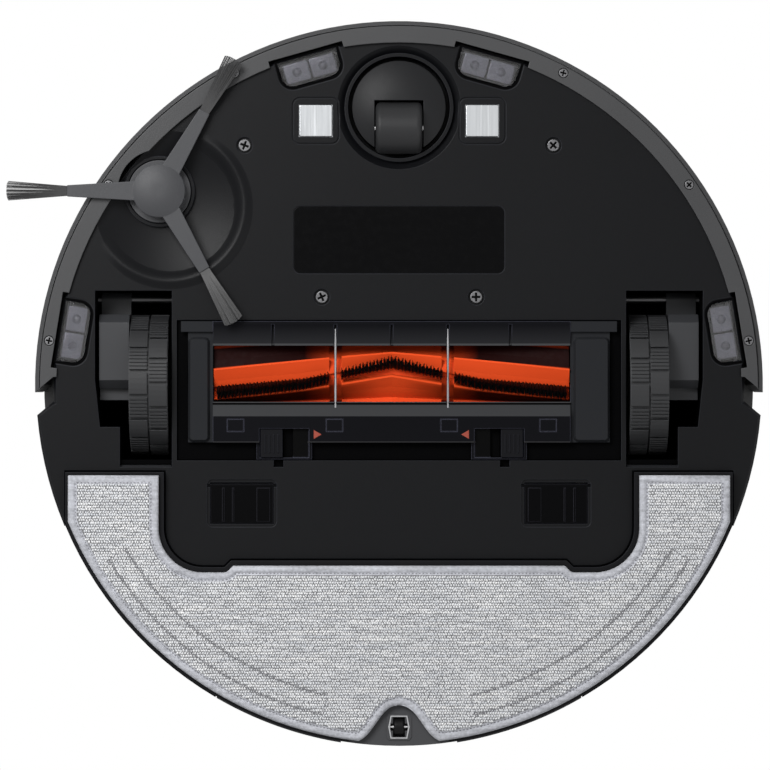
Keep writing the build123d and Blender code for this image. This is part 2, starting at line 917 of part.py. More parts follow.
with BuildPart() as cliff_sensors:
    with Locations(*window_places(floor_top)):
        Box(
            window_width,
            window_depth - 2 * rim_wall,
            sensor_height,
            align=(Align.CENTER, Align.CENTER, Align.MIN),
        )
save(cliff_sensors, "cliff_sensors")

# Charging contacts: a plate through the floor and a flange on top of it
with BuildPart() as charging_contacts:
    contact_points = [(-contact_x, contact_y), (contact_x, contact_y)]
    with BuildSketch(Plane.XY.offset(underside - contact_proud)):
        with Locations(*contact_points):
            RectangleRounded(contact_width, contact_depth, contact_groove)
    extrude(amount=floor_thickness + contact_proud)
    fillet(charging_contacts.faces().sort_by(Axis.Z)[:2].edges(), contact_proud)
    with BuildSketch(Plane.XY.offset(floor_top)):
        with Locations(*contact_points):
            Rectangle(contact_width + rim_wall, contact_depth + rim_wall)
    extrude(amount=floor_thickness / 2)
save(charging_contacts, "charging_contacts")

# Caster: fixed socket, swivelling dome, wheel and axle
with BuildPart() as caster_socket:
    with BuildSketch(Plane.XZ.offset(-caster_y)):
        socket_roof = caster_dome_top + moving_gap
        stem_top = socket_roof + caster_stem_length
        bore = caster_stem_radius + running_gap
        flange_reach = caster_ring_radius + caster_flange
        with BuildLine():
            Polyline(
                (caster_well, underside),
                (caster_ring_radius, underside),
                (caster_ring_radius, floor_top),
                (flange_reach, floor_top),
                (flange_reach, floor_top + shell_wall),
                (caster_ring_radius, floor_top + shell_wall),
                (caster_ring_radius, socket_roof + shell_wall),
                (bore + shell_wall, socket_roof + shell_wall),
                (bore + shell_wall, stem_top),
                (bore, stem_top),
                (bore, socket_roof),
                (caster_well, socket_roof),
                close=True,
            )
        make_face()
    revolve(axis=Axis((0, caster_y, 0), (0, 0, 1)))
save(caster_socket, "caster_socket")

caster_wheel_y = caster_y + caster_trail
fork_inner = caster_wheel_width / 2 + moving_gap
with BuildPart() as caster_dome:
    with BuildSketch(Plane.XZ.offset(-caster_y)):
        dome_edge_z = underside + moving_gap
        with BuildLine():
            ThreePointArc(
                (0, dome_edge_z - caster_dome_drop),
                (caster_dome_radius * 0.6, dome_edge_z - caster_dome_drop * 0.72),
                (caster_dome_radius, dome_edge_z),
            )
            Polyline(
                (caster_dome_radius, dome_edge_z),
                (caster_dome_radius, caster_dome_top),
                (caster_stem_radius, caster_dome_top),
                (caster_stem_radius, caster_dome_top + caster_stem_length),
                (0, caster_dome_top + caster_stem_length),
                (0, dome_edge_z - caster_dome_drop),
            )
        make_face()
    revolve(axis=Axis((0, caster_y, 0), (0, 0, 1)))
    rod(
        (0, caster_wheel_y, caster_wheel_radius),
        caster_wheel_radius + moving_gap,
        2 * fork_inner,
        Mode.SUBTRACT,
    )
    block(
        (-fork_inner, fork_inner),
        (caster_wheel_y - caster_wheel_radius - moving_gap, caster_y + 2 * caster_dome_radius),
        (0, caster_wheel_radius),
        Mode.SUBTRACT,
    )
    rod(
        (0, caster_wheel_y, caster_wheel_radius),
        caster_axle_radius + running_gap,
        2 * (fork_inner + caster_dome_drop),
        Mode.SUBTRACT,
    )
save(caster_dome, "caster_dome")

with BuildPart() as caster_axle:
    rod(
        (0, caster_wheel_y, caster_wheel_radius),
        caster_axle_radius,
        2 * (fork_inner + caster_dome_drop) - seat_gap,
    )
save(caster_axle, "caster_axle")

with BuildPart() as caster_wheel:
    rod((0, caster_wheel_y, caster_wheel_radius), caster_wheel_radius, caster_wheel_width)
    fillet(caster_wheel.edges().filter_by(GeomType.CIRCLE), caster_wheel_rounding)
    rod(
        (0, caster_wheel_y, caster_wheel_radius),
        caster_axle_radius + running_gap,
        2 * caster_wheel_width,
        Mode.SUBTRACT,
    )
save(caster_wheel, "caster_wheel")

# Side brush: hub with a domed cap, three arms and its drive shaft
side_arm_angles = (180, -60, 60)
hub_low = side_arm_height - hub_bulge
hub_step = underside + rim_wall - moving_gap * 2
tuft_root_height = side_arm_height + side_arm_thickness / 2
tuft_half_height = side_arm_thickness / 4
with BuildPart() as side_brush_hub:
    with BuildSketch(Plane.XZ.offset(-side_brush_y)):
        with BuildLine():
            Line((side_brush_x, hub_low), (side_brush_x + hub_flat, hub_low))
            TangentArc(
                (side_brush_x + hub_flat, hub_low),
                (side_brush_x + side_cap_radius, side_arm_height),
                tangent=(1, 0),
            )
            Polyline(
                (side_brush_x + side_cap_radius, side_arm_height),
                (side_brush_x + side_cap_radius, hub_step),
                (side_brush_x + side_base_radius, hub_step),
                (side_brush_x + side_base_radius, hub_top),
                (side_brush_x + side_shaft_radius, hub_top),
                (side_brush_x + side_shaft_radius, dish_roof + side_shaft_length),
                (side_brush_x, dish_roof + side_shaft_length),
                (side_brush_x, hub_low),
            )
        make_face()
    revolve(axis=Axis((side_brush_x, side_brush_y, 0), (0, 0, 1)))
    for angle in side_arm_angles:
        with BuildSketch(Plane((side_brush_x, side_brush_y, side_arm_height)).rotated((0, 0, angle))):
            with BuildLine():
                Polyline(
                    (0, -side_arm_root_width / 2),
                    (side_cap_radius, -side_arm_root_width / 2),
                    (side_arm_reach, -side_arm_width / 2),
                    (side_arm_reach, side_arm_width / 2),
                    (side_cap_radius, side_arm_root_width / 2),
                    (0, side_arm_root_width / 2),
                    close=True,
                )
            make_face()
    extrude(amount=side_arm_thickness)
    # Mouth of each arm, which holds the root of its tuft
    for angle in side_arm_angles:
        mouth = Plane((side_brush_x, side_brush_y, tuft_root_height)).rotated((0, 0, angle))
        with Locations(mouth.location * Location((side_arm_reach, 0, 0))):
            Box(
                2 * side_arm_width,
                side_arm_width - 2 * tuft_half_height,
                2 * tuft_half_height,
                mode=Mode.SUBTRACT,
            )
save(side_brush_hub, "side_brush_hub")


def tuft_strands(angle):
    """Places of one tuft's strands, fanned out from the arm's mouth towards the floor."""
    arm = Plane((side_brush_x, side_brush_y, 0)).rotated((0, 0, angle))
    places = []
    for row in range(tuft_rows):
        for column in range(tuft_columns):
            level = row - (tuft_rows - 1) / 2
            across = column - (tuft_columns - 1) / 2
            start = Vector(
                side_arm_reach - tuft_strand,
                across * 1.5 * tuft_strand,
                tuft_root_height + level * 1.1 * tuft_strand,
            )
            tip = Vector(
                side_brush_reach,
                across * 4.6 * tuft_strand,
                tuft_tip_height + level * 2 * tuft_strand,
            )
            places.append(arm.location * Plane(start, z_dir=tip - start).location)
    return places


tuft_length = sqrt(
    (side_brush_reach - side_arm_reach) ** 2 + (tuft_root_height - tuft_tip_height) ** 2
)
with BuildPart() as side_brush_bristles:
    for angle in side_arm_angles:
        root = Plane((side_brush_x, side_brush_y, tuft_root_height)).rotated((0, 0, angle))
        with Locations(root.location * Location((side_arm_reach - side_arm_width / 2, 0, 0))):
            Box(
                side_arm_width,
                side_arm_width - 2 * tuft_half_height - seat_gap,
                2 * tuft_half_height - seat_gap,
            )
    with Locations(*[place for angle in side_arm_angles for place in tuft_strands(angle)]):
        Box(
            tuft_strand,
            tuft_strand,
            tuft_length,
            align=(Align.CENTER, Align.CENTER, Align.MIN),
        )
save(side_brush_bristles, "side_brush_bristles")

# Geared motor that turns the side brush
with BuildPart() as side_brush_gearbox:
    block(
        (side_brush_x - gearbox_margin, side_brush_x + gearbox_width - gearbox_margin),
        (side_brush_y - gearbox_margin, side_brush_y + gearbox_length - gearbox_margin),
        (dish_roof, dish_roof + gearbox_height),
    )
    fillet(side_brush_gearbox.edges().filter_by(Axis.Z), gearbox_width / 8)
    with Locations((side_brush_x, side_brush_y, dish_roof)):
        Cylinder(
            side_shaft_radius + running_gap,
            2 * (side_shaft_length + seat_gap),
            mode=Mode.SUBTRACT,
        )
save(side_brush_gearbox, "side_brush_gearbox")

# Drive wheels: case, pivot pin, swing arm, axle, hub and tyre on each side
tyre_outer = tyre_inner + tyre_width
arm_inner = tyre_outer + arm_gap
arm_outer = arm_inner + arm_width
wheel_middle = (tyre_inner + tyre_outer) / 2
hub_radius = wheel_radius - tyre_thickness
case_back = wheel_radius + case_clear


def case_room(side, grow):
    """Room for a drive wheel above the floor, grown outwards for the outside of its case."""
    with BuildSketch() as clipped:
        add(wells[side])
        with Locations((0, case_back - far / 2)):
            Rectangle(2 * far, far, mode=Mode.INTERSECT)
    grown = offset(clipped.sketch, grow, kind=Kind.INTERSECTION) if grow else clipped.sketch
    with BuildPart() as room:
        with BuildSketch(Plane.XY.offset(floor_top)):
            add(grown)
        extrude(amount=case_top - case_wall + grow - floor_top)
        with BuildSketch(Plane.YZ):
            with Locations((0, wheel_z)):
                Circle(case_back + grow)
            with Locations(((well_front - grow) / 2, case_top / 2)):
                Rectangle(grow - well_front, case_top)
            with Locations(((case_back + grow) / 2, wheel_z / 2)):
                Rectangle(case_back + grow, wheel_z)
        extrude(amount=side * far, mode=Mode.INTERSECT)
    return room.part


for side, name in ((-1, "right"), (1, "left")):
    with BuildPart() as wheel_case:
        add(case_room(side, case_wall))
        add(case_room(side, 0), mode=Mode.SUBTRACT)
        bar = sided(side, well_inner - case_wall / 2, tyre_outer)
        rod((sum(bar) / 2, stop_bar_y, stop_bar_z), stop_bar_radius, bar[1] - bar[0])
        pin = sided(side, well_inner - case_wall, well_outer + case_wall)
        rod(
            (sum(pin) / 2, pivot_y, pivot_z),
            pivot_radius + running_gap,
            pin[1] - pin[0] + 2 * case_wall,
            Mode.SUBTRACT,
        )
    save(wheel_case, f"{name}_wheel_case")

    with BuildPart() as pivot_pin:
        rod((sum(pin) / 2, pivot_y, pivot_z), pivot_radius, pin[1] - pin[0])
    save(pivot_pin, f"{name}_pivot_pin")

    with BuildPart() as wheel_arm:
        arm = sided(side, arm_inner, arm_outer)
        with BuildSketch(Plane.YZ.offset(arm[0])):
            with BuildLine():
                Polyline(
                    (arm_front, arm_bottom + arm_bevel),
                    (arm_front + arm_bevel, arm_bottom),
                    (arm_back - arm_bevel, arm_bottom),
                    (arm_back, arm_bottom + arm_bevel),
                    (arm_back, arm_bottom + 2 * arm_bevel),
                    (arm_lip_back, arm_bottom + 2 * arm_bevel),
                    (arm_lip_back, arm_top - arm_bevel),
                    (arm_back, arm_top),
                    (arm_front, arm_top),
                    close=True,
                )
            make_face()
            with Locations((pivot_y, pivot_z)):
                Circle(pivot_ear_radius)
            with Locations(((pivot_y + arm_front) / 2, pivot_z)):
                Rectangle(arm_front - pivot_y, 2 * pivot_ear_radius)
        extrude(amount=arm_width)
        rod((sum(arm) / 2, pivot_y, pivot_z), pivot_radius + running_gap, 2 * arm_width, Mode.SUBTRACT)
        axle_span = sided(side, arm_inner, arm_outer - arm_width / 3)
        rod(
            (sum(axle_span) / 2, 0, wheel_z),
            axle_radius + running_gap,
            axle_span[1] - axle_span[0],
            Mode.SUBTRACT,
        )
    save(wheel_arm, f"{name}_wheel_arm")

    with BuildPart() as wheel_axle:
        shaft = sided(side, tyre_inner + case_wall, arm_outer - arm_width / 3 - seat_gap)
        rod((sum(shaft) / 2, 0, wheel_z), axle_radius, shaft[1] - shaft[0])
    save(wheel_axle, f"{name}_wheel_axle")

    with BuildPart() as wheel_hub:
        rim = tyre_width - 2 * tread_depth
        rod((side * wheel_middle, 0, wheel_z), hub_radius - running_gap, rim)
        for face in (-1, 1):
            with BuildSketch(Plane.YZ.offset(side * wheel_middle + face * rim / 2)):
                with Locations((0, wheel_z)):
                    Circle(hub_radius - rim_wall)
                    Circle(3 * axle_radius, mode=Mode.SUBTRACT)
            extrude(amount=-face * rim / 3, mode=Mode.SUBTRACT)
        with BuildSketch(Plane.YZ.offset(side * wheel_middle - rim)):
            with Locations((0, wheel_z)):
                with PolarLocations((hub_radius - rim_wall + 3 * axle_radius) / 2, 6):
                    Circle(axle_radius * 1.5)
        extrude(amount=2 * rim, mode=Mode.SUBTRACT)
        rod((side * wheel_middle, 0, wheel_z), axle_radius + running_gap, 2 * rim, Mode.SUBTRACT)
    save(wheel_hub, f"{name}_wheel_hub")

    with BuildPart() as tyre:
        rod((side * wheel_middle, 0, wheel_z), wheel_radius, tyre_width)
        chamfer(tyre.edges().filter_by(GeomType.CIRCLE), tread_groove)
        rod((side * wheel_middle, 0, wheel_z), hub_radius, 2 * tyre_width, Mode.SUBTRACT)
        with BuildSketch(Plane.YZ.offset(side * wheel_middle - tread_groove / 2)):
            with Locations((0, wheel_z)):
                Circle(2 * wheel_radius)
                Circle(wheel_radius - tread_depth, mode=Mode.SUBTRACT)
        extrude(amount=tread_groove, mode=Mode.SUBTRACT)
        slots = []
        for row in (0, 1):
            for i in range(tread_blocks):
                turn = 360 / tread_blocks * (i + row / 2)
                slots.append(
                    Location(
                        (
                            side * wheel_middle + (row - 0.5) * tyre_width / 2,
                            wheel_radius * sin(radians(turn)),
                            wheel_z - wheel_radius * cos(radians(turn)),
                        ),
                        (turn, 0, 0),
                    )
                )
        with Locations(*slots):
            Box(tyre_width / 2, tread_slot, 2 * tread_depth, mode=Mode.SUBTRACT)
    save(tyre, f"{name}_tyre")

# Roller brush: twisted core with two soft blades after each bristle row, apex of the V forwards


def turn_at(x, turns, row):
    """Angle at a place along the roller, from straight down to the rear, for one quarter of it."""
    along = abs(x - cover_x) / roller_half * (len(turns) - 1)
    step = min(int(along), len(turns) - 2)
    bend = turns[step] + (turns[step + 1] - turns[step]) * (along - step)
    return bend + row * 360 / bristle_rows


def on_roller(turn, radius):
    """Y and Z of a point on the roller."""
    return (roller_y + radius * sin(radians(turn)), roller_z - radius * cos(radians(turn)))


def ring_face(x, points):
    """Face across the roller from a list of angles and radii."""
    with BuildSketch(Plane.YZ.offset(x)) as section:
        with BuildLine():
            Polyline(*[on_roller(turn, radius) for turn, radius in points], close=True)
        make_face()
    return section.sketch


def core_face(x):
    """Section of the core with its bristle grooves and blades."""
    points = []
    for row in range(bristle_rows):
        turn = turn_at(x, row_turns, row)
        points.append((turn - strip_half_angle, core_radius))
        points.append((turn - strip_half_angle, core_radius - strip_depth))
        points.append((turn + strip_half_angle, core_radius - strip_depth))
        points.append((turn + strip_half_angle, core_radius))
        for tips, creases in zip(blade_turns, crease_turns):
            tip = turn_at(x, tips, row)
            crease = turn_at(x, creases, row)
            points.append((tip - blade_root_angle, core_radius))
            points.append((tip, blade_radius))
            points.append((tip + blade_tip_angle, blade_radius))
            points.append((crease, crease_radius))
    return ring_face(x, points)


def strip_face(x, row):
    """Section of the backing of one bristle row."""
    turn = turn_at(x, row_turns, row)
    half = strip_half_angle - strip_clear_angle
    low = core_radius - strip_depth + seat_gap
    high = core_radius + seat_gap
    return ring_face(
        x, [(turn - half, low), (turn + half, low), (turn + half, high), (turn - half, high)]
    )


shares = [i / roller_stations for i in range(roller_stations + 1)]
half_stations = [[cover_x + end * roller_half * share for share in shares] for end in (-1, 1)]
wire_places = (cover_x - wire_offset, cover_x + wire_offset)
with BuildPart() as brush_roller:
    for stations in half_stations:
        loft(sections=[core_face(x) for x in stations], ruled=True)
    for x in wire_places:
        with BuildSketch(Plane.YZ.offset(x - wire_notch / 2)):
            with Locations((roller_y, roller_z)):
                Circle(2 * blade_radius)
                Circle(core_radius, mode=Mode.SUBTRACT)
        extrude(amount=wire_notch, mode=Mode.SUBTRACT)
    rod((cover_x, roller_y, roller_z), journal_radius, 2 * (roller_half + journal_length))
save(brush_roller, "brush_roller")

strand_places = []
strand_count = round(2 * roller_half / strand_pitch) - 1
for row in range(bristle_rows):
    for i in range(strand_count):
        x = cover_x + (i - (strand_count - 1) / 2) * strand_pitch
        if min(abs(x - wire) for wire in wire_places) > (wire_notch + roller_strand) / 2:
            turn = turn_at(x, row_turns, row)
            y, z = on_roller(turn, core_radius)
            strand_places.append(Location((x, y, z), (turn, 0, 0)))
with BuildPart() as brush_bristles:
    for row in range(bristle_rows):
        for stations in half_stations:
            loft(sections=[strip_face(x, row) for x in stations], ruled=True)
    with Locations(*strand_places):
        Box(
            roller_strand,
            roller_strand,
            bristle_radius - core_radius,
            align=(Align.CENTER, Align.CENTER, Align.MAX),
        )
save(brush_bristles, "brush_bristles")

# Cover of the roller brush: frame, front ramp, rear bar and side members
cover_half = pocket_half - moving_gap
cover_front = pocket_front + moving_gap
cover_back = pocket_back - moving_gap


def member_span(side):
    """Span across the body of one side member of the cover."""
    inner = cover_x + side * (opening_half + side_member_gap)
    return tuple(sorted((inner, side * side_member_end)))


with BuildPart() as brush_cover:
    block((-side_member_end, side_member_end), (cover_front, rear_step), (plate_low, cover_top))
    for side in (-1, 1):
        frame_span = from_cover(side, latch_inner - latch_frame, latch_outer + latch_frame)
        block(frame_span, (latch_front, cover_back), (plate_low, cover_top))
    opening = from_cover(1, -opening_half, opening_half)
    block(opening, (ramp_edge, lip_edge), (0, floor_top), Mode.SUBTRACT)
    with BuildSketch(Plane.YZ.offset(opening[0])):
        with BuildLine():
            Polyline(
                (cover_front, cover_top),
                (cover_front, cover_bottom),
                (cover_front + ramp_nose, cover_bottom),
                (opening_front, wire_z),
                (opening_front, plate_low),
                (ramp_edge, plate_low + moving_gap),
                (ramp_edge, cover_top),
                close=True,
            )
        make_face()
        with BuildLine():
            Polyline(
                (opening_back, wire_z - wire_radius),
                (opening_back + lip_step, wire_z - wire_radius),
                (opening_back + lip_step, wire_z),
                (opening_back + 2 * lip_step, wire_z),
                (rear_bevel, cover_bottom),
                (rear_step, cover_bottom),
                (rear_step, cover_top),
                (lip_edge, cover_top),
                (lip_edge - lip_step, plate_low + moving_gap),
                (opening_back, lip_z),
                close=True,
            )
        make_face()
    extrude(amount=2 * opening_half)
    for x in ramp_grooves:
        block(
            (cover_x + x - ramp_groove_width / 2, cover_x + x + ramp_groove_width / 2),
            (cover_front + ramp_nose, opening_front),
            (0, wire_z + ramp_groove_depth),
            Mode.SUBTRACT,
        )
    for side in (-1, 1):
        span = member_span(side)
        member_middle = ((span[0] + span[1]) / 2, (side_member_front + side_member_back) / 2)
        with BuildSketch(Plane.XY.offset(plate_low)):
            with Locations(member_middle):
                RectangleRounded(
                    span[1] - span[0], side_member_back - side_member_front, side_member_corner
                )
        extrude(amount=cover_bottom - plate_low, taper=side_member_draft)
        bracket = sorted((cover_x + side * opening_half, side * (cover_half - ramp_nose)))
        block(bracket, (cover_front, bracket_back), (cover_bottom + moving_gap, plate_low))
        # Latch recess: right through where the thumb pad slides, shallow beside it
        outer_part = from_cover(side, latch_split, latch_outer)
        inner_part = from_cover(side, latch_inner, latch_split)
        block(outer_part, (latch_front, latch_back), (0, cover_top), Mode.SUBTRACT)
        block(inner_part, (latch_front, latch_back), (0, plate_low + seat_gap), Mode.SUBTRACT)
        block(
            from_cover(side, slot_inner, slot_outer),
            (latch_front, cover_back),
            (slot_z, cover_top),
            Mode.SUBTRACT,
        )
        # Four shallow square outlines in the rear bar
        for x in square_places:
            centre = cover_x + side * x
            with BuildSketch(Plane.XY):
                with Locations((centre, square_y)):
                    Rectangle(square_width, square_length)
                    Rectangle(
                        square_width - 2 * seat_gap, square_length - 2 * seat_gap, mode=Mode.SUBTRACT
                    )
            extrude(amount=cover_bottom + seat_gap, mode=Mode.SUBTRACT)
    for x in wire_places:
        wire_hole = Location((x, (wire_front + wire_back) / 2, wire_z), (90, 0, 0))
        with Locations(wire_hole):
            Cylinder(wire_radius + running_gap, wire_back - wire_front, mode=Mode.SUBTRACT)
save(brush_cover, "brush_cover")

with BuildPart() as guard_wires:
    for x in wire_places:
        with Locations(Location((x, (wire_front + wire_back) / 2, wire_z), (90, 0, 0))):
            Cylinder(wire_radius, wire_back - wire_front)
save(guard_wires, "guard_wires")

# Bearing blocks of the roller, standing on the cover's side members
for side, name in ((-1, "right"), (1, "left")):
    span = member_span(side)
    with BuildPart() as brush_bearing:
        block(span, (roller_y - bearing_half, roller_y + bearing_half), (cover_top, bearing_top))
        fillet(brush_bearing.edges().filter_by(Axis.X).group_by(Axis.Z)[-1], bearing_half / 2)
        rod(
            (cover_x, roller_y, roller_z),
            journal_radius + running_gap,
            2 * (roller_half + journal_length + seat_gap),
            Mode.SUBTRACT,
        )
    save(brush_bearing, f"{name}_brush_bearing")

# Housing over the roller: half tube, bearing boxes, flange and the duct to the dust box
tube_half = opening_half + side_member_gap
with BuildPart() as brush_housing:
    flange_half = pocket_half - seat_gap
    block(
        (-flange_half, flange_half),
        (pocket_front - rim_wall, pocket_back + rim_wall),
        (floor_top, floor_top + shell_wall),
    )
    block(
        (-flange_half, flange_half),
        (pocket_front + seat_gap, pocket_back - seat_gap),
        (cover_top, floor_top),
    )
    rod((cover_x, roller_y, roller_z), chamber_radius + housing_wall, 2 * tube_half)
    for side in (-1, 1):
        span = member_span(side)
        reach = bearing_half + seat_gap + housing_wall
        block(
            (span[0] - housing_wall, span[1] + housing_wall),
            (roller_y - reach, roller_y + reach),
            (floor_top, bearing_top + seat_gap + housing_wall),
        )
    block(
        from_cover(1, -duct_half - housing_wall, duct_half + housing_wall),
        (roller_y, dust_front - moving_gap),
        (duct_low - housing_wall, duct_high + housing_wall),
    )
    block(
        from_cover(1, -duct_half, duct_half),
        (roller_y, far),
        (duct_low, duct_high),
        Mode.SUBTRACT,
    )
    rod((cover_x, roller_y, roller_z), chamber_radius, 2 * tube_half, Mode.SUBTRACT)
    block(
        from_cover(1, -tube_half, tube_half),
        (roller_y - chamber_radius, roller_y + chamber_radius),
        (0, roller_z),
        Mode.SUBTRACT,
    )
    for side in (-1, 1):
        span = member_span(side)
        block(
            (span[0] - seat_gap, span[1] + seat_gap),
            (roller_y - bearing_half - seat_gap, roller_y + bearing_half + seat_gap),
            (0, bearing_top + seat_gap),
            Mode.SUBTRACT,
        )
        block(
            from_cover(side, slot_inner, slot_outer),
            (latch_front, pocket_back),
            (cover_top, floor_top),
            Mode.SUBTRACT,
        )
    block((-far, far), (-far, far), (0, cover_top), Mode.SUBTRACT)
save(brush_housing, "brush_housing")

# Motor of the roller brush on its foot
with BuildPart() as brush_motor:
    rod((motor_right + motor_length / 2, motor_y, motor_z), motor_radius, motor_length)
    block(
        (motor_right + motor_length - motor_radius, motor_right + motor_length),
        (motor_y - motor_radius, motor_y + motor_radius),
        (floor_top, motor_z),
    )
save(brush_motor, "brush_motor")

# Thumb latches of the cover
for side, name in ((-1, "right"), (1, "left")):
    with BuildPart() as latch:
        pad_outer = latch_outer - moving_gap
        pad_y = (latch_front + seat_gap, latch_back - seat_gap)
        block(
            from_cover(side, pad_outer - latch_pad_width, pad_outer),
            pad_y,
            (cover_bottom + latch_sink, cover_top - seat_gap),
        )
        tongue_outer = slot_outer - moving_gap
        tongue = from_cover(side, tongue_outer - tongue_width, tongue_outer)
        tongue_top = tongue_z + tongue_thickness
        tongue_root = (pad_y[0] + pad_y[1]) / 2
        block(tongue, (tongue_root, pad_y[1]), (cover_bottom + latch_sink, tongue_top))
        block(tongue, (tongue_root, pocket_back + tongue_reach), (tongue_z, tongue_top))
    save(latch, f"{name}_latch")

# Flaps of the emptying ports, hung on pins at their front edge
for side, name in ((-1, "right"), (1, "left")):
    with BuildPart() as port_flap:
        flap = sided(side, port_x - port_width / 2 + seat_gap, port_x + port_width / 2 - seat_gap)
        block(
            flap,
            (flap_axis_y - flap_pin_radius, port_y + port_length / 2 - seat_gap),
            (flap_axis_z - flap_thickness / 2, flap_axis_z + flap_thickness / 2),
        )
        flap_low = flap_axis_z - flap_thickness / 2
        for near, beyond in flap_ribs:
            block(
                sided(side, port_x - beyond, port_x - near),
                (flap_axis_y + flap_rib_margin, port_y + port_length / 2 - flap_rib_margin),
                (flap_low - flap_rib_height, flap_low),
            )
        rod(
            (side * port_x, flap_axis_y, flap_axis_z),
            flap_pin_radius,
            port_width + 2 * flap_pin_length - seat_gap,
        )
    save(port_flap, f"{name}_port_flap")

# Short ducts from the ports up to the dust box
with BuildPart() as port_ducts:
    with BuildSketch(Plane.XY.offset(floor_top)):
        with Locations((-port_x, port_y), (port_x, port_y)):
            Rectangle(port_width + 2 * duct_wall, port_length + 2 * duct_wall)
            Rectangle(port_width, port_length, mode=Mode.SUBTRACT)
    extrude(amount=dust_bottom - floor_top)
save(port_ducts, "port_ducts")

# Mop module: carrier plate, cloth pad, water tank and guide roller
platform_grown = offset(platform_face, mop_gap)
with BuildSketch() as mop_outline:
    with Locations((0, (bay_front + mop_gap + far) / 2)):
        Rectangle(2 * (bay_half - mop_gap), far - bay_front - mop_gap)
    Circle(mop_radius, mode=Mode.INTERSECT)
    add(platform_grown, mode=Mode.SUBTRACT)
mop_room = offset(mop_outline.sketch, -mop_plate_wall, kind=Kind.INTERSECTION)
plate_top = mop_pad_thickness + mop_plate_thickness
carrier_top = bay_roof - moving_gap
with BuildPart() as mop_plate:
    with BuildSketch(Plane.XY.offset(mop_pad_thickness)):
        add(mop_outline.sketch)
    extrude(amount=carrier_top - mop_pad_thickness)
    with BuildSketch(Plane.XY.offset(plate_top)):
        add(mop_room)
    extrude(amount=carrier_top - plate_top, mode=Mode.SUBTRACT)
    for x in (-rib_x, rib_x):
        block(
            (x - mop_plate_wall / 2, x + mop_plate_wall / 2),
            (platform_back + mop_gap, rib_back),
            (plate_top, carrier_top),
        )
    with BuildSketch(Plane.XY.offset(mop_pad_thickness)):
        with Locations((0, guide_y)):
            RegularPolygon(guide_pocket + guide_wall, 6, rotation=30)
    extrude(amount=guide_height - mop_pad_thickness)
    with BuildSketch(Plane.XY):
        with Locations((0, guide_y)):
            RegularPolygon(guide_pocket, 6, rotation=30)
    extrude(amount=guide_height, mode=Mode.SUBTRACT)
    rod(
        (0, guide_y, guide_z),
        guide_axle_radius + running_gap,
        2 * (guide_pocket + guide_wall / 2),
        Mode.SUBTRACT,
    )
save(mop_plate, "mop_plate")

with BuildPart() as rear_roller:
    rod((0, guide_y, guide_z), guide_radius, guide_width)
    fillet(rear_roller.edges().filter_by(GeomType.CIRCLE), guide_axle_radius)
    rod((0, guide_y, guide_z), guide_axle_radius + running_gap, 2 * guide_width, Mode.SUBTRACT)
save(rear_roller, "rear_roller")

with BuildPart() as rear_roller_axle:
    rod((0, guide_y, guide_z), guide_axle_radius, 2 * guide_pocket + guide_wall - seat_gap)
save(rear_roller_axle, "rear_roller_axle")

pad_outer_sketch = offset(mop_outline.sketch, -pad_inset, kind=Kind.INTERSECTION)
platform_pad = offset(platform_face, pad_inner_inset)
with BuildPart() as mop_pad:
    with BuildSketch():
        add(pad_outer_sketch)
        add(platform_pad, mode=Mode.SUBTRACT)
        with BuildLine():
            for side in (-1, 1):
                Bezier(
                    (0, pad_notch_top),
                    (side * pad_notch_half * 0.45, pad_notch_top),
                    (side * pad_notch_half * 0.5, pad_notch_foot),
                    (side * pad_notch_half, pad_notch_foot),
                )
                Line((side * pad_notch_half, pad_notch_foot), (side * pad_notch_half, body_radius))
            Line((-pad_notch_half, body_radius), (pad_notch_half, body_radius))
        make_face(mode=Mode.SUBTRACT)
    extrude(amount=mop_pad_thickness)
save(mop_pad, "mop_pad")

with BuildPart() as water_tank:
    with BuildSketch(Plane.XY.offset(carrier_top)):
        with Locations((0, (tank_front + far) / 2)):
            Rectangle(2 * tank_half, far - tank_front)
        Circle(body_radius, mode=Mode.INTERSECT)
    extrude(amount=tank_top - carrier_top)
    fillet(water_tank.edges().filter_by(Axis.Z).group_by(Axis.Y)[0], platform_step)
    block(
        (-grip_half, grip_half),
        (body_radius - grip_depth, far),
        (carrier_top, carrier_top + grip_height),
        Mode.SUBTRACT,
    )
save(water_tank, "water_tank")

# Laser turret: base let into the roof, posts, cap and the turning head
base_top = body_height + turret_base_height
cap_low = turret_height - turret_cap_thickness
turret_floor = body_height - turret_skirt_depth
with BuildPart() as turret_base:
    with BuildSketch(Plane.XY.offset(body_height)):
        with Locations((0, turret_y)):
            Circle(turret_radius)
    extrude(amount=turret_base_height)
    chamfer(turret_base.faces().sort_by(Axis.Z)[-1].edges(), lid_chamfer)
    with Locations((0, turret_y, turret_floor)):
        Cylinder(
            turret_skirt_radius,
            turret_skirt_depth,
            align=(Align.CENTER, Align.CENTER, Align.MIN),
        )
    with Locations((0, turret_y, turret_floor + turret_wall)):
        Cylinder(
            turret_skirt_radius - turret_wall,
            2 * turret_skirt_depth,
            align=(Align.CENTER, Align.CENTER, Align.MIN),
            mode=Mode.SUBTRACT,
        )
    with Locations((0, turret_y, turret_floor)):
        Cylinder(lidar_shaft_radius + running_gap, 4 * turret_wall, mode=Mode.SUBTRACT)
save(turret_base, "turret_base")

with BuildPart() as turret_posts:
    with BuildSketch(Plane.XY.offset(base_top)):
        with Locations((0, turret_y)):
            with PolarLocations(turret_radius - turret_post_inset, turret_posts_count, turret_post_turn):
                Circle(turret_post_radius)
    extrude(amount=cap_low - base_top)
save(turret_posts, "turret_posts")

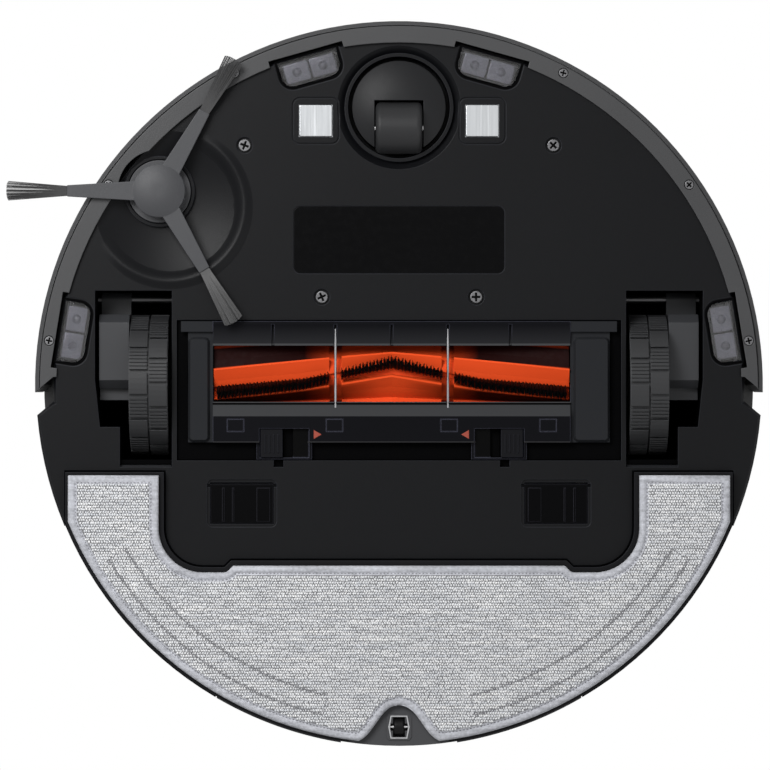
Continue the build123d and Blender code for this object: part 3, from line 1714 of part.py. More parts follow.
with BuildPart() as turret_cap:
    with Locations((0, turret_y, cap_low)):
        Cylinder(
            turret_radius,
            turret_cap_thickness,
            align=(Align.CENTER, Align.CENTER, Align.MIN),
        )
    fillet(turret_cap.faces().sort_by(Axis.Z)[-1].edges(), turret_cap_thickness / 2)
save(turret_cap, "turret_cap")

head_low = turret_floor + turret_wall + moving_gap
head_high = cap_low - 2 * moving_gap
with BuildPart() as lidar_head:
    with Locations((0, turret_y, head_low)):
        Cylinder(
            lidar_radius, head_high - head_low, align=(Align.CENTER, Align.CENTER, Align.MIN)
        )
        Cylinder(
            lidar_shaft_radius,
            turret_wall + 2 * moving_gap,
            align=(Align.CENTER, Align.CENTER, Align.MAX),
        )
    lens_z = (base_top + head_high) / 2
    for x in (-lidar_lens_x, lidar_lens_x):
        with Locations(Location((x, turret_y - lidar_radius, lens_z), (90, 0, 0))):
            Cylinder(lidar_lens_radius, lidar_radius / 2, mode=Mode.SUBTRACT)
save(lidar_head, "lidar_head")

# Two push buttons in the roof
for x, name in ((-button_x, "power"), (button_x, "home")):
    with BuildPart() as button:
        flange_high = roof_under - seat_gap
        with Locations((x, button_y, flange_high)):
            Cylinder(
                button_radius,
                body_height + button_proud - flange_high,
                align=(Align.CENTER, Align.CENTER, Align.MIN),
            )
            Cylinder(
                button_radius + button_flange,
                button_flange,
                align=(Align.CENTER, Align.CENTER, Align.MAX),
            )
        chamfer(button.faces().sort_by(Axis.Z)[-1].edges(), button_proud)
    save(button, f"{name}_button")

# Dust box: open box with inlet, port and outlet holes, its cover and its filter
with BuildPart() as dust_box:
    block((-dust_half, dust_half), (dust_front, dust_back), (dust_bottom, dust_top))
    fillet(dust_box.edges().filter_by(Axis.Z), platform_step)
    block(
        (dust_wall - dust_half, dust_half - dust_wall),
        (dust_front + dust_wall, dust_back - dust_wall),
        (dust_bottom + dust_wall, dust_top),
        Mode.SUBTRACT,
    )
    block(
        from_cover(1, -duct_half, duct_half),
        (dust_front, dust_front + dust_wall),
        (duct_low, duct_high),
        Mode.SUBTRACT,
    )
    for x in (-port_x, port_x):
        block(
            (x - port_width / 2, x + port_width / 2),
            (port_y - port_length / 2, port_y + port_length / 2),
            (dust_bottom, dust_bottom + dust_wall),
            Mode.SUBTRACT,
        )
    block(
        (dust_half - dust_wall, dust_half),
        (fan_y - filter_length / 2, fan_y + filter_length / 2),
        (filter_low, filter_low + filter_height),
        Mode.SUBTRACT,
    )
save(dust_box, "dust_box")

with BuildPart() as dust_box_cover:
    block((-dust_half, dust_half), (dust_front, dust_back), (dust_top, dust_top + dust_cover_thickness))
    fillet(dust_box_cover.edges().filter_by(Axis.Z), platform_step)
save(dust_box_cover, "dust_box_cover")

# Pleated filter in the outlet
with BuildPart() as dust_filter:
    filter_x = dust_half - dust_wall - filter_depth
    pleat = (filter_length + 2 * dust_wall) / filter_pleats
    start_y = fan_y - filter_length / 2 - dust_wall
    with BuildSketch(Plane.XY.offset(filter_low - dust_wall)):
        with BuildLine():
            points = [(dust_half - dust_wall, start_y)]
            for i in range(filter_pleats):
                points.append((filter_x, start_y + i * pleat))
                points.append((filter_x + filter_depth / 2, start_y + (i + 0.5) * pleat))
            points.append((filter_x, start_y + filter_pleats * pleat))
            points.append((dust_half - dust_wall, start_y + filter_pleats * pleat))
            Polyline(*points, close=True)
        make_face()
    extrude(amount=filter_height + 2 * dust_wall)
save(dust_filter, "dust_filter")

# Fan, battery and circuit board
with BuildPart() as suction_fan:
    with Locations((fan_x, fan_y, bay_top)):
        Cylinder(fan_radius, fan_height, align=(Align.CENTER, Align.CENTER, Align.MIN))
    fillet(suction_fan.faces().sort_by(Axis.Z)[-1].edges(), fan_radius / 4)
    block(
        (dust_half + seat_gap, fan_x),
        (fan_y - filter_length / 2, fan_y + filter_length / 2),
        (filter_low, filter_low + filter_height),
    )
save(suction_fan, "suction_fan")

with BuildPart() as battery_pack:
    block(
        (-battery_half, battery_half),
        (battery_front, battery_back),
        (floor_top, floor_top + battery_height),
    )
    fillet(battery_pack.edges().filter_by(Axis.Z), rim_wall)
save(battery_pack, "battery_pack")

with BuildPart() as main_board:
    board_low = floor_top + battery_height
    block(
        (-battery_half, battery_half),
        (battery_front, battery_back),
        (board_low, board_low + board_thickness),
    )
    for x in board_chips:
        block(
            (x, x + chip_size),
            (battery_front + chip_size / 2, battery_front + chip_size * 3 / 2),
            (board_low + board_thickness, board_low + 3 * board_thickness),
        )
save(main_board, "main_board")
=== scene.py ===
from math import cos, pi, radians, sin

import bmesh
import bpy
from mathutils import Matrix, Vector, noise
from mathutils.bvhtree import BVHTree


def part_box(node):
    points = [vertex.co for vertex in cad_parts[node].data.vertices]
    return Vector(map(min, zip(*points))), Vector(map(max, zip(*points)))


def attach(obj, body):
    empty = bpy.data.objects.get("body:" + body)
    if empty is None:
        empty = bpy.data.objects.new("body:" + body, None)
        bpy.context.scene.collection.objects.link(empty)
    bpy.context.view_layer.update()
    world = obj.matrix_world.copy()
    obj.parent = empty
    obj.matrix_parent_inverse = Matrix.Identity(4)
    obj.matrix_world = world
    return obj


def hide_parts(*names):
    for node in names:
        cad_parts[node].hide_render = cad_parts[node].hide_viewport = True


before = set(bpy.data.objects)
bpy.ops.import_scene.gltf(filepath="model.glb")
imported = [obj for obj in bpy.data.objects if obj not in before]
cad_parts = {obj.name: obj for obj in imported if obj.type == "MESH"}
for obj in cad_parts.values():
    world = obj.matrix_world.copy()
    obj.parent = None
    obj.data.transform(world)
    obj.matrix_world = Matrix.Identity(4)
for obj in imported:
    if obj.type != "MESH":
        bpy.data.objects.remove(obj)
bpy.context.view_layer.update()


# Bottom cover: the black floor of the machine, moulded in one shot from ABS with a fine spark-eroded
# grain. All the other pieces are screwed or clipped to it, so its finish is the first one made.
mm = 0.001
cover_colour = (0.0036, 0.0038, 0.0046)
cover_grain = 2600.0
cloud_cells = 16.0
cloud_spread = 0.18
gloss_swing = 0.07
noise_low, noise_high = 0.3, 0.7
edge_starts, edge_full = 0.995, 0.80


def add_node(tree, kind, sockets, **settings):
    """One shader node with its settings, and with a value or a link on each named socket."""
    node = tree.nodes.new("ShaderNode" + kind)
    for name, value in settings.items():
        setattr(node, name, value)
    for name, value in sockets.items():
        if isinstance(value, bpy.types.NodeSocket):
            tree.links.new(value, node.inputs[name])
        else:
            node.inputs[name].default_value = value
    return node.outputs


def mixed(tree, share, first, second):
    """Two colours, mixed by a share."""
    return add_node(tree, "Mix", {0: share, 6: first, 7: second}, data_type="RGBA")[2]


def speckle(tree, where, cells, detail):
    """A noise at a number of cells to the metre."""
    return add_node(tree, "TexNoise", {"Vector": where, "Scale": cells, "Detail": detail})["Fac"]


def relieved(tree, height, depth, **under):
    """A normal with a bump of a height in metres."""
    sockets = {"Height": height, "Distance": depth, "Strength": 1.0, **under}
    return add_node(tree, "Bump", sockets)["Normal"]


def new_group(name, inputs, outputs):
    """An empty shader node group with float inputs, and its sockets on both sides."""
    group = bpy.data.node_groups.new(name, "ShaderNodeTree")
    for socket in inputs:
        group.interface.new_socket(socket, in_out="INPUT", socket_type="NodeSocketFloat")
    for socket, kind in outputs.items():
        group.interface.new_socket(socket, in_out="OUTPUT", socket_type="NodeSocket" + kind)
    start = group.nodes.new("NodeGroupInput").outputs
    end = group.nodes.new("NodeGroupOutput").inputs
    return group, start, end


def place_group(tree, group, values):
    """A node group set into a material with its own values."""
    node = tree.nodes.new("ShaderNodeGroup")
    node.node_tree = group
    for name, value in values.items():
        node.inputs[name].default_value = value
    return node.outputs


def make_grain():
    """Moulded grain: a fine height for bump and a slow cloud for tone, both in object space."""
    group, start, end = new_group("moulded_grain", ["Cells"], {"Height": "Float", "Cloud": "Float"})
    here = add_node(group, "TexCoord", {})["Object"]
    fine = add_node(
        group, "TexNoise", {"Vector": here, "Scale": start["Cells"], "Detail": 2.0, "Roughness": 0.6}
    )
    cloud = speckle(group, here, cloud_cells, 3.0)
    group.links.new(fine["Fac"], end["Height"])
    group.links.new(cloud, end["Cloud"])
    return group


def make_soft_edge():
    """Broken edges of a moulding: a rounded normal, and a mask that is 1 along the edge."""
    group, start, end = new_group("soft_edge", ["Radius"], {"Normal": "Vector", "Edge": "Float"})
    softened = add_node(group, "Bevel", {"Radius": start["Radius"]}, samples=6)["Normal"]
    flat = add_node(group, "NewGeometry", {})["Normal"]
    dot = add_node(group, "VectorMath", {0: softened, 1: flat}, operation="DOT_PRODUCT")["Value"]
    turned = add_node(group, "MapRange", {0: dot, 1: edge_starts, 2: edge_full, 3: 0.0, 4: 1.0})
    group.links.new(softened, end["Normal"])
    group.links.new(turned["Result"], end["Edge"])
    return group


grain_group = make_grain()
edge_group = make_soft_edge()


def scaled(colour, factor):
    """A colour made lighter or darker, with its alpha."""
    return (*[min(1.0, channel * factor) for channel in colour], 1.0)


def new_material(name):
    """A material, its node tree and its shader."""
    material = bpy.data.materials.new(name)
    material.use_nodes = True
    return material, material.node_tree, material.node_tree.nodes["Principled BSDF"]


def moulded(name, colour, roughness, cells, relief, edge=0.4, edge_highlight_gain=2.0, specular=0.35):
    """Moulded plastic or rubber: clouded tone, grain, and edges painted paler as a highlight; sizes in
    millimetres.
    """
    material, tree, shader = new_material(name)
    grain = place_group(tree, grain_group, {"Cells": cells})
    soft = place_group(tree, edge_group, {"Radius": edge * mm})
    dark, pale = scaled(colour, 1 - cloud_spread), scaled(colour, 1 + cloud_spread)
    tone = mixed(tree, grain["Cloud"], dark, pale)
    # Along the edge mask the colour is painted paler: a painted highlight.
    edge_highlit = mixed(tree, soft["Edge"], tone, scaled(colour, edge_highlight_gain))
    glossy, dull = roughness - gloss_swing, roughness + gloss_swing
    swing = {0: grain["Height"], 1: noise_low, 2: noise_high, 3: glossy, 4: dull}
    rough = add_node(tree, "MapRange", swing)["Result"]
    bump = relieved(tree, grain["Height"], relief * mm, Normal=soft["Normal"])
    tree.links.new(edge_highlit, shader.inputs["Base Color"])
    tree.links.new(rough, shader.inputs["Roughness"])
    tree.links.new(bump, shader.inputs["Normal"])
    shader.inputs["Specular IOR Level"].default_value = specular
    return material


def dress(material, *names):
    """Give CAD nodes a finish."""
    for name in names:
        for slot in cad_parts[name].material_slots:
            slot.material = material


chassis_black = moulded(
    "chassis_black",
    cover_colour,
    roughness=0.38,
    cells=cover_grain,
    relief=0.05,
    edge_highlight_gain=10.0,
    specular=0.11,
)
dress(chassis_black, "lower_chassis", "caster_socket")


# Works inside the cover: battery, board, fan, motor, gearbox, ducts and the roller's housing.
# Moulded black plastic, a steel motor can, a green board and a pleated paper filter, clipped in place.
inner_colour = (0.0013, 0.0013, 0.0015)
board_colour = (0.012, 0.085, 0.035)
filter_colour = (0.72, 0.70, 0.62)
box_colour = (0.045, 0.045, 0.048)
can_colour = (0.42, 0.42, 0.43)
scratch_cells = 900.0
scratch_gloss = (-0.06, 0.08)
metal_edge = 0.35


def metal(name, colour, roughness, along, stretch, relief, spread=0.2):
    """Drawn or brushed metal: fine scratches along one axis, their relief in millimetres."""
    material, tree, shader = new_material(name)
    here = add_node(tree, "TexCoord", {})["Object"]
    scale = [scratch_cells] * 3
    scale["XYZ".index(along)] = scratch_cells / stretch
    lined = add_node(tree, "Mapping", {"Vector": here, "Scale": scale})["Vector"]
    scratch = speckle(tree, lined, 1.0, 4.0)
    tone = mixed(tree, scratch, scaled(colour, 1 - spread), scaled(colour, 1 + spread))
    glossy, dull = (roughness + change for change in scratch_gloss)
    swing = {0: scratch, 1: noise_low, 2: noise_high, 3: glossy, 4: dull}
    rough = add_node(tree, "MapRange", swing)["Result"]
    soft = place_group(tree, edge_group, {"Radius": metal_edge * mm})
    bump = relieved(tree, scratch, relief * mm, Normal=soft["Normal"])
    tree.links.new(tone, shader.inputs["Base Color"])
    tree.links.new(rough, shader.inputs["Roughness"])
    tree.links.new(bump, shader.inputs["Normal"])
    shader.inputs["Metallic"].default_value = 1.0
    return material


inner_black = moulded(
    "inner_black", inner_colour, roughness=0.6, cells=1800.0, relief=0.05, specular=0.015
)
dress(inner_black, "brush_housing", "port_ducts", "suction_fan", "side_brush_gearbox")
dress(inner_black, "battery_pack", "cliff_sensors", "left_wheel_case", "right_wheel_case")
board_green = moulded("board_green", board_colour, roughness=0.4, cells=700.0, relief=0.03)
dress(board_green, "main_board")
filter_paper = moulded(
    "filter_paper", filter_colour, roughness=0.85, cells=900.0, relief=0.08, edge_highlight_gain=1.1
)
dress(filter_paper, "dust_filter")
box_smoke = moulded("box_smoke", box_colour, roughness=0.2, cells=60.0, relief=0.01)
dress(box_smoke, "dust_box", "dust_box_cover")
motor_can = metal("motor_can", can_colour, roughness=0.35, along="X", stretch=20.0, relief=0.01)
dress(motor_can, "brush_motor")


# Cross-recess screws: four in the floor's counterbores and six small ones in the bumper's flange.
# Cold-headed steel with a black oxide coat; the head's face sits just under the plastic round it.
# The pins and axles of the wheels and rollers are turned from plain steel rod.
screw_colour = (0.12, 0.12, 0.124)
recess_shade_colour = (0.004, 0.004, 0.004)
pin_colour = (0.09, 0.09, 0.093)
axle_colour = (0.66, 0.66, 0.67)
recess_arm, recess_slot, recess_draft, recess_depth = 0.70, 0.17, 0.03, 0.85
head_round = 0.12
shank_taper = 0.8
floor_screw_size = (3.0, 1.4, 1.5, 9.0)
floor_screw_turns = (20, 23)
floor_screws = ((-74.2, -115.2), (74.2, -115.2), (-37.1, -42.3), (37.1, -42.3))
rim_screw_size = (2.2, 1.2, 1.0, 7.0)
rim_screw_turns = (11, 31)
rim_screw_reach = 169.3
rim_screw_angles = (-82.8, -55.4, -27.8, 27.8, 55.4, 82.8)


def new_piece(name, bm, material, body, smooth=False):
    """Finish a bmesh as an object of the frame that rides on a body."""
    mesh = bpy.data.meshes.new(name)
    bm.to_mesh(mesh)
    bm.free()
    for face in mesh.polygons:
        face.use_smooth = smooth
    piece = bpy.data.objects.new(name, mesh)
    bpy.context.scene.collection.objects.link(piece)
    piece.data.materials.append(material)
    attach(piece, body)
    return piece


def kept_mesh(bm):
    """Turn a bmesh into a mesh that can be copied into others."""
    mesh = bpy.data.meshes.new("pattern")
    bm.to_mesh(mesh)
    bm.free()
    return mesh


def add_copy(bm, mesh, place):
    """One more copy of a mesh at a place."""
    first = len(bm.verts)
    bm.from_mesh(mesh)
    bm.verts.ensure_lookup_table()
    bmesh.ops.transform(bm, matrix=place, verts=bm.verts[first:])


def rounded(bm, geom, radius, affect="EDGES", segments=2):
    """Round some edges, or the corners of a flat face."""
    bmesh.ops.bevel(
        bm, geom=geom, offset=radius, segments=segments, profile=0.5, material=-1, affect=affect
    )


def cross_screw(head_radius, head_height, shank_radius, shank_length):
    """A screw with its drive face at the origin, facing down."""
    bm = bmesh.new()
    recess_mark = bm.faces.layers.float.new("recess")
    bmesh.ops.create_grid(bm, x_segments=5, y_segments=5, size=head_radius)
    arm = recess_arm * head_radius
    slot = recess_slot * head_radius
    lines = (-head_radius, -arm, -slot, slot, arm, head_radius)
    for vert in bm.verts:
        column, row = (round((c / head_radius + 1) * 2.5) for c in vert.co.xy)
        vert.co.xy = lines[column], lines[row]
        if column in (0, 5) or row in (0, 5):
            vert.co *= head_radius / vert.co.length
    recess = []
    for face in bm.faces:
        x, y = (abs(c) for c in face.calc_center_median().xy)
        if min(x, y) < slot and max(x, y) < arm:
            recess.append(face)
    walls = bmesh.ops.inset_region(
        bm, faces=recess, thickness=recess_draft * head_radius, depth=-recess_depth * head_height
    )["faces"]
    for face in recess + walls:
        face[recess_mark] = 1.0
    rim = [edge for edge in bm.edges if edge.is_boundary]
    skirt = bmesh.ops.extrude_edge_only(bm, edges=rim)["geom"]
    wall = [v for v in skirt if isinstance(v, bmesh.types.BMVert)]
    bmesh.ops.translate(bm, verts=wall, vec=(0, 0, -head_height))
    bmesh.ops.holes_fill(bm, edges=[edge for edge in bm.edges if edge.is_boundary])
    rounded(bm, rim, head_round * head_radius)
    shank = Matrix.Translation((0, 0, -head_height - shank_length / 2))
    bmesh.ops.create_cone(
        bm,
        cap_ends=True,
        segments=12,
        radius1=shank_taper * shank_radius,
        radius2=shank_radius,
        depth=shank_length,
        matrix=shank,
    )
    bmesh.ops.rotate(bm, matrix=Matrix.Rotation(pi, 3, "X"), verts=bm.verts)
    bmesh.ops.recalc_face_normals(bm, faces=bm.faces)
    return kept_mesh(bm)


def screw_set(node, size, places, turns):
    """Screws at a node's height, each turned further than the last."""
    bm = bmesh.new()
    screw = cross_screw(*(length * mm for length in size))
    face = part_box(node)[0].z
    first, step = turns
    for index, (x, y) in enumerate(places):
        turn = Matrix.Rotation(radians(first + step * index), 4, "Z")
        add_copy(bm, screw, Matrix.Translation((x * mm, y * mm, face)) @ turn)
    return bm


def painted(material, mask, colour):
    """Another colour over a finish, where a mask of its node tree is 1."""
    tree = material.node_tree
    base = tree.nodes["Principled BSDF"].inputs["Base Color"]
    under = base.links[0].from_socket
    tree.links.new(mixed(tree, mask, under, (*colour, 1.0)), base)


screw_black = metal("screw_black", screw_colour, roughness=0.42, along="Z", stretch=1.0, relief=0.004)
# The faces of the cross recess are painted near black: painted shade.
in_shaded_recess = add_node(screw_black.node_tree, "Attribute", {}, attribute_name="recess")["Fac"]
painted(screw_black, in_shaded_recess, recess_shade_colour)
rim_screws = []
for angle in rim_screw_angles:
    turn = radians(angle)
    rim_screws.append((rim_screw_reach * sin(turn), -rim_screw_reach * cos(turn)))
floor_screw_set = screw_set("chassis_screws", floor_screw_size, floor_screws, floor_screw_turns)
floor_piece = new_piece("cross_screws_floor", floor_screw_set, screw_black, "chassis")
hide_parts("chassis_screws")
rim_screw_set = screw_set("bumper_screws", rim_screw_size, rim_screws, rim_screw_turns)
rim_piece = new_piece("cross_screws_rim", rim_screw_set, screw_black, "bumper")
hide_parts("bumper_screws")
pin_steel = metal("pin_steel", pin_colour, roughness=0.4, along="X", stretch=12.0, relief=0.004)
dress(pin_steel, "left_pivot_pin", "right_pivot_pin", "left_wheel_axle", "right_wheel_axle")
steel_bright = metal("steel_bright", axle_colour, roughness=0.3, along="X", stretch=12.0, relief=0.004)
dress(steel_bright, "caster_axle", "rear_roller_axle")


# Blank plate: a gloss black polyester plate stuck in the shallow bed on the floor, left bare.
# Die-cut with round corners; its face lies a hair above the floor round it.
plate_size = (101.1, 32.1)
plate_middle = (0.0, -69.8)
plate_face = 10.55
plate_back = 10.88
plate_corner = 3.2
plate_round = 0.12
plate_colour = (0.0024, 0.0024, 0.0027)


def thickened(bm, depth):
    """Give a flat sheet of faces a back, straight above it, and walls between the two."""
    far = bmesh.ops.extrude_face_region(bm, geom=bm.faces[:])["geom"]
    far_verts = [v for v in far if isinstance(v, bmesh.types.BMVert)]
    bmesh.ops.translate(bm, vec=(0, 0, depth), verts=far_verts)
    bmesh.ops.recalc_face_normals(bm, faces=bm.faces)


plate_gloss = moulded(
    "plate_gloss",
    plate_colour,
    roughness=0.24,
    cells=300.0,
    relief=0.004,
    edge_highlight_gain=10.0,
    specular=0.04,
)
bm = bmesh.new()
bmesh.ops.create_grid(bm, x_segments=1, y_segments=1, size=0.5 * mm)
bmesh.ops.scale(bm, vec=(*plate_size, 1), verts=bm.verts)
rounded(bm, bm.verts[:], plate_corner * mm, "VERTICES", 8)
thickened(bm, (plate_back - plate_face) * mm)
bmesh.ops.translate(bm, vec=Vector((*plate_middle, plate_face)) * mm, verts=bm.verts)
half_way = (plate_face + plate_back) / 2 * mm
front_rim = [e for e in bm.edges if all(v.co.z < half_way for v in e.verts)]
rounded(bm, front_rim, plate_round * mm)
bmesh.ops.recalc_face_normals(bm, faces=bm.faces)
new_piece("blank_plate", bm, plate_gloss, "chassis")


# Charging contacts: two plates of nickel-plated brass, brushed from front to back and pressed into
# the floor. Their faces stand 0.4 mm proud of it for the dock's springs.
contact_colour = (0.52, 0.535, 0.55)
contact_metal = metal(
    "contact_metal", contact_colour, roughness=0.22, along="Y", stretch=40.0, relief=0.0006, spread=0.03
)
dress(contact_metal, "charging_contacts")


# Drop-sensor windows: clear polycarbonate trays, open at the back, over a pair of lens cells each.
# The tray clips into the floor, the cells stand on the sensor body behind it, and a thin black ring
# round each window on the floor is painted shade for the pocket round the window.
window_angles = (-80.8, -15.7, 15.7, 80.8)
window_reach = 158.0
window_size = (28.8, 12.4)
window_corner = 5.5
window_wall = 0.9
shade_ring_width = 1.5
shade_ring_thickness = 0.2
window_face, window_back = (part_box("cliff_windows")[i].z for i in (0, 1))
window_tint = (0.86, 0.86, 0.90, 1.0)
flow_cells = 90.0
frost_least, frost_most = 0.03, 0.16
ripple_depth = 0.05
cell_colour = (0.085, 0.085, 0.10)
cell_size = (12.0, 9.4, 1.3)
cell_round = 0.5
cell_aside = 6.5
cell_stand = 0.75
cell_flattened = 0.45
lens_radius = 2.2
lens_sink = 0.5


def window_place(angle, height):
    """The frame of one window: its own Y points inwards from the rim."""
    out = Vector((sin(radians(angle)), -cos(radians(angle)), 0)) * window_reach * mm
    return Matrix.Translation(out + Vector((0, 0, height))) @ Matrix.Rotation(radians(angle), 4, "Z")


def window_outline(shrink):
    """A flat face with the window's outline, straight at the rim and round on the inner side."""
    bm = bmesh.new()
    bmesh.ops.create_grid(bm, x_segments=1, y_segments=1, size=0.5 * mm)
    across, deep = (size - 2 * shrink for size in window_size)
    bmesh.ops.scale(bm, vec=(across, deep, 1), verts=bm.verts)
    inner = [v for v in bm.verts if v.co.y > 0]
    rounded(bm, inner, (window_corner - shrink) * mm, "VERTICES", 8)
    return bm


clear_window, tree, shader = new_material("clear_window")
here = add_node(tree, "TexCoord", {})["Object"]
flow = speckle(tree, here, flow_cells, 2.0)
frost = add_node(tree, "MapRange", {0: flow, 3: frost_least, 4: frost_most})["Result"]
ripple = relieved(tree, flow, ripple_depth * mm)
tree.links.new(frost, shader.inputs["Roughness"])
tree.links.new(ripple, shader.inputs["Normal"])
shader.inputs["Base Color"].default_value = window_tint
shader.inputs["Transmission Weight"].default_value = 1.0
shader.inputs["IOR"].default_value = 1.5

tray = window_outline(0.0)
thickened(tray, window_back - window_face)
lid = [f for f in tray.faces if f.normal.z > 0.9]
bmesh.ops.delete(tray, geom=lid, context="FACES_ONLY")
bmesh.ops.solidify(tray, geom=tray.faces[:], thickness=window_wall * mm)
tray_mesh = kept_mesh(tray)
cell = bmesh.new()
bmesh.ops.create_cube(cell, size=mm)
bmesh.ops.scale(cell, vec=cell_size, verts=cell.verts)
rounded(cell, cell.edges[:], cell_round * mm)
lens_place = Matrix.Translation((0, 0, -lens_sink * mm))
bmesh.ops.create_uvsphere(
    cell, u_segments=16, v_segments=8, radius=lens_radius * mm, matrix=lens_place
)
cell_mesh = kept_mesh(cell)
# A thin black ring round each window, laid where the window's pocket lies in shade: painted shade.
rim = window_outline(-shade_ring_width)
inner_face = rim.faces[:]
bmesh.ops.inset_region(rim, faces=inner_face, thickness=shade_ring_width * mm, use_boundary=True)
bmesh.ops.delete(rim, geom=inner_face, context="FACES_ONLY")
thickened(rim, shade_ring_thickness * mm)
shade_ring_mesh = kept_mesh(rim)
trays = bmesh.new()
cells = bmesh.new()
shade_rings = bmesh.new()
cell_height = window_back - cell_stand * mm
flattened = Matrix.Diagonal((1, 1, cell_flattened, 1))
for angle in window_angles:
    add_copy(trays, tray_mesh, window_place(angle, window_face))
    add_copy(shade_rings, shade_ring_mesh, window_place(angle, window_face - shade_ring_thickness * mm))
    for side in (-1, 1):
        inside = Matrix.Translation((side * cell_aside * mm, 0, 0)) @ flattened
        add_copy(cells, cell_mesh, window_place(angle, cell_height) @ inside)
window_trays = new_piece("window_trays", trays, clear_window, "chassis")
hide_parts("cliff_windows")
cell_plastic = moulded(
    "lens_cell", cell_colour, roughness=0.25, cells=500.0, relief=0.01, edge_highlight_gain=1.6
)
new_piece("lens_cells", cells, cell_plastic, "chassis", smooth=True)
new_piece("window_shade_rings", shade_rings, inner_black, "chassis")


# Caster: a nylon wheel on a steel axle in a domed swivel that turns in its socket.
# The dome is satin black, the wheel a harder grey-black with a fine scuff from rolling.
dome_colour = (0.0095, 0.0098, 0.0108)
nylon_colour = (0.020, 0.0203, 0.0215)
dome_black = moulded(
    "caster_dome", dome_colour, roughness=0.46, cells=2200.0, relief=0.03, edge_highlight_gain=4.0, specular=0.16
)
dress(dome_black, "caster_dome")
caster_nylon = moulded(
    "caster_nylon", nylon_colour, roughness=0.45, cells=1400.0, relief=0.06, edge_highlight_gain=4.0, specular=0.2
)
dress(caster_nylon, "caster_wheel")


# Drive wheels: rubber tyres with two staggered rows of tread blocks, plain and ribbed by turns,
# pressed on moulded hubs. Each wheel hangs on a grey swing arm that drops through the floor.
tyre_reach = 34.0
tyre_bore = 28.05
tyre_body = 32.4
tyre_near, tyre_far = 110.9, 129.5
tread_row_gap = 1.0
tread_blocks = 18
tread_slot = 1.7
tread_ribs = 6
tread_rib_share = 0.64
tread_rib_floor = 33.25
tread_shoulder = 0.3
block_root, rib_root = 0.3, 0.2
tyre_steps, block_steps = 72, 4
rubber_colour = (0.024, 0.0245, 0.026)
arm_colour = (0.033, 0.034, 0.037)
hub_colour = (0.03, 0.03, 0.032)


def arc_block(bm, span, inner, outer, start, sweep, steps):
    """A block of a ring about the wheel's axle: a rectangle spun through part of a turn."""
    middle = (span[0] + span[1]) / 2
    face = bmesh.ops.create_grid(bm, x_segments=1, y_segments=1, size=0.5)["verts"]
    bmesh.ops.scale(bm, vec=(span[1] - span[0], outer - inner, 1), verts=face)
    bmesh.ops.rotate(bm, matrix=Matrix.Rotation(pi / 2, 3, "X"), verts=face)
    bmesh.ops.translate(bm, vec=(middle, 0, (inner + outer) / 2), verts=face)
    bmesh.ops.rotate(bm, matrix=Matrix.Rotation(start, 3, "X"), verts=face)
    edges = list({e for v in face for e in v.link_edges})
    around = {"cent": (0, 0, 0), "axis": (1, 0, 0), "angle": sweep, "steps": steps}
    faces = list({f for v in face for f in v.link_faces})
    if sweep == 2 * pi:
        bmesh.ops.delete(bm, geom=faces, context="FACES_ONLY")
        bmesh.ops.spin(bm, geom=face + edges, use_merge=True, **around)
    else:
        bmesh.ops.spin(bm, geom=face + edges + faces, **around)


tyre_rubber = moulded(
    "tyre_rubber",
    rubber_colour,
    roughness=0.5,
    cells=1500.0,
    relief=0.06,
    edge=0.25,
    edge_highlight_gain=3.5,
    specular=0.25,
)
arm_plastic = moulded("arm_grey", arm_colour, roughness=0.42, cells=2400.0, relief=0.04, specular=0.25)
hub_plastic = moulded("hub_grey", hub_colour, roughness=0.4, cells=2400.0, relief=0.04, specular=0.2)
axle_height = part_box("left_tyre")[1].z / 2
row_width = (tyre_far - tyre_near - tread_row_gap) / 2
block_turn = 2 * pi / tread_blocks
block_sweep = block_turn - tread_slot / tyre_reach
rib_turn = block_sweep / (tread_ribs - 1 + tread_rib_share)
tyre = bmesh.new()
arc_block(tyre, (tyre_near, tyre_far), tyre_bore, tyre_body, 0.0, 2 * pi, tyre_steps)
for row in range(2):
    low = tyre_near + row * (row_width + tread_row_gap)
    span = (low + tread_shoulder * (1 - row), low + row_width - tread_shoulder * row)
    block_floor = tyre_body - block_root
    for block in range(tread_blocks):
        start = (block + row / 2) * block_turn
        if (block + row) % 2:
            arc_block(tyre, span, block_floor, tyre_reach, start, block_sweep, block_steps)
        else:
            arc_block(tyre, span, block_floor, tread_rib_floor, start, block_sweep, block_steps)
            for rib in range(tread_ribs):
                rib_start = start + rib * rib_turn
                rib_sweep = rib_turn * tread_rib_share
                rib_foot = tread_rib_floor - rib_root
                arc_block(tyre, span, rib_foot, tyre_reach, rib_start, rib_sweep, 1)
bmesh.ops.scale(tyre, vec=(mm, mm, mm), verts=tyre.verts)
bmesh.ops.translate(tyre, vec=(0, 0, axle_height), verts=tyre.verts)
bmesh.ops.recalc_face_normals(tyre, faces=tyre.faces)
tyre_mesh = kept_mesh(tyre)
for side, sign in (("left", 1), ("right", -1)):
    bm = bmesh.new()
    add_copy(bm, tyre_mesh, Matrix.Diagonal((sign, 1, 1, 1)))
    bmesh.ops.recalc_face_normals(bm, faces=bm.faces)
    tyre_piece = new_piece(f"{side}_tread_tyre", bm, tyre_rubber, f"{side}_wheel")
    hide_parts(f"{side}_tyre")
    dress(arm_plastic, f"{side}_wheel_arm")
    dress(hub_plastic, f"{side}_wheel_hub")


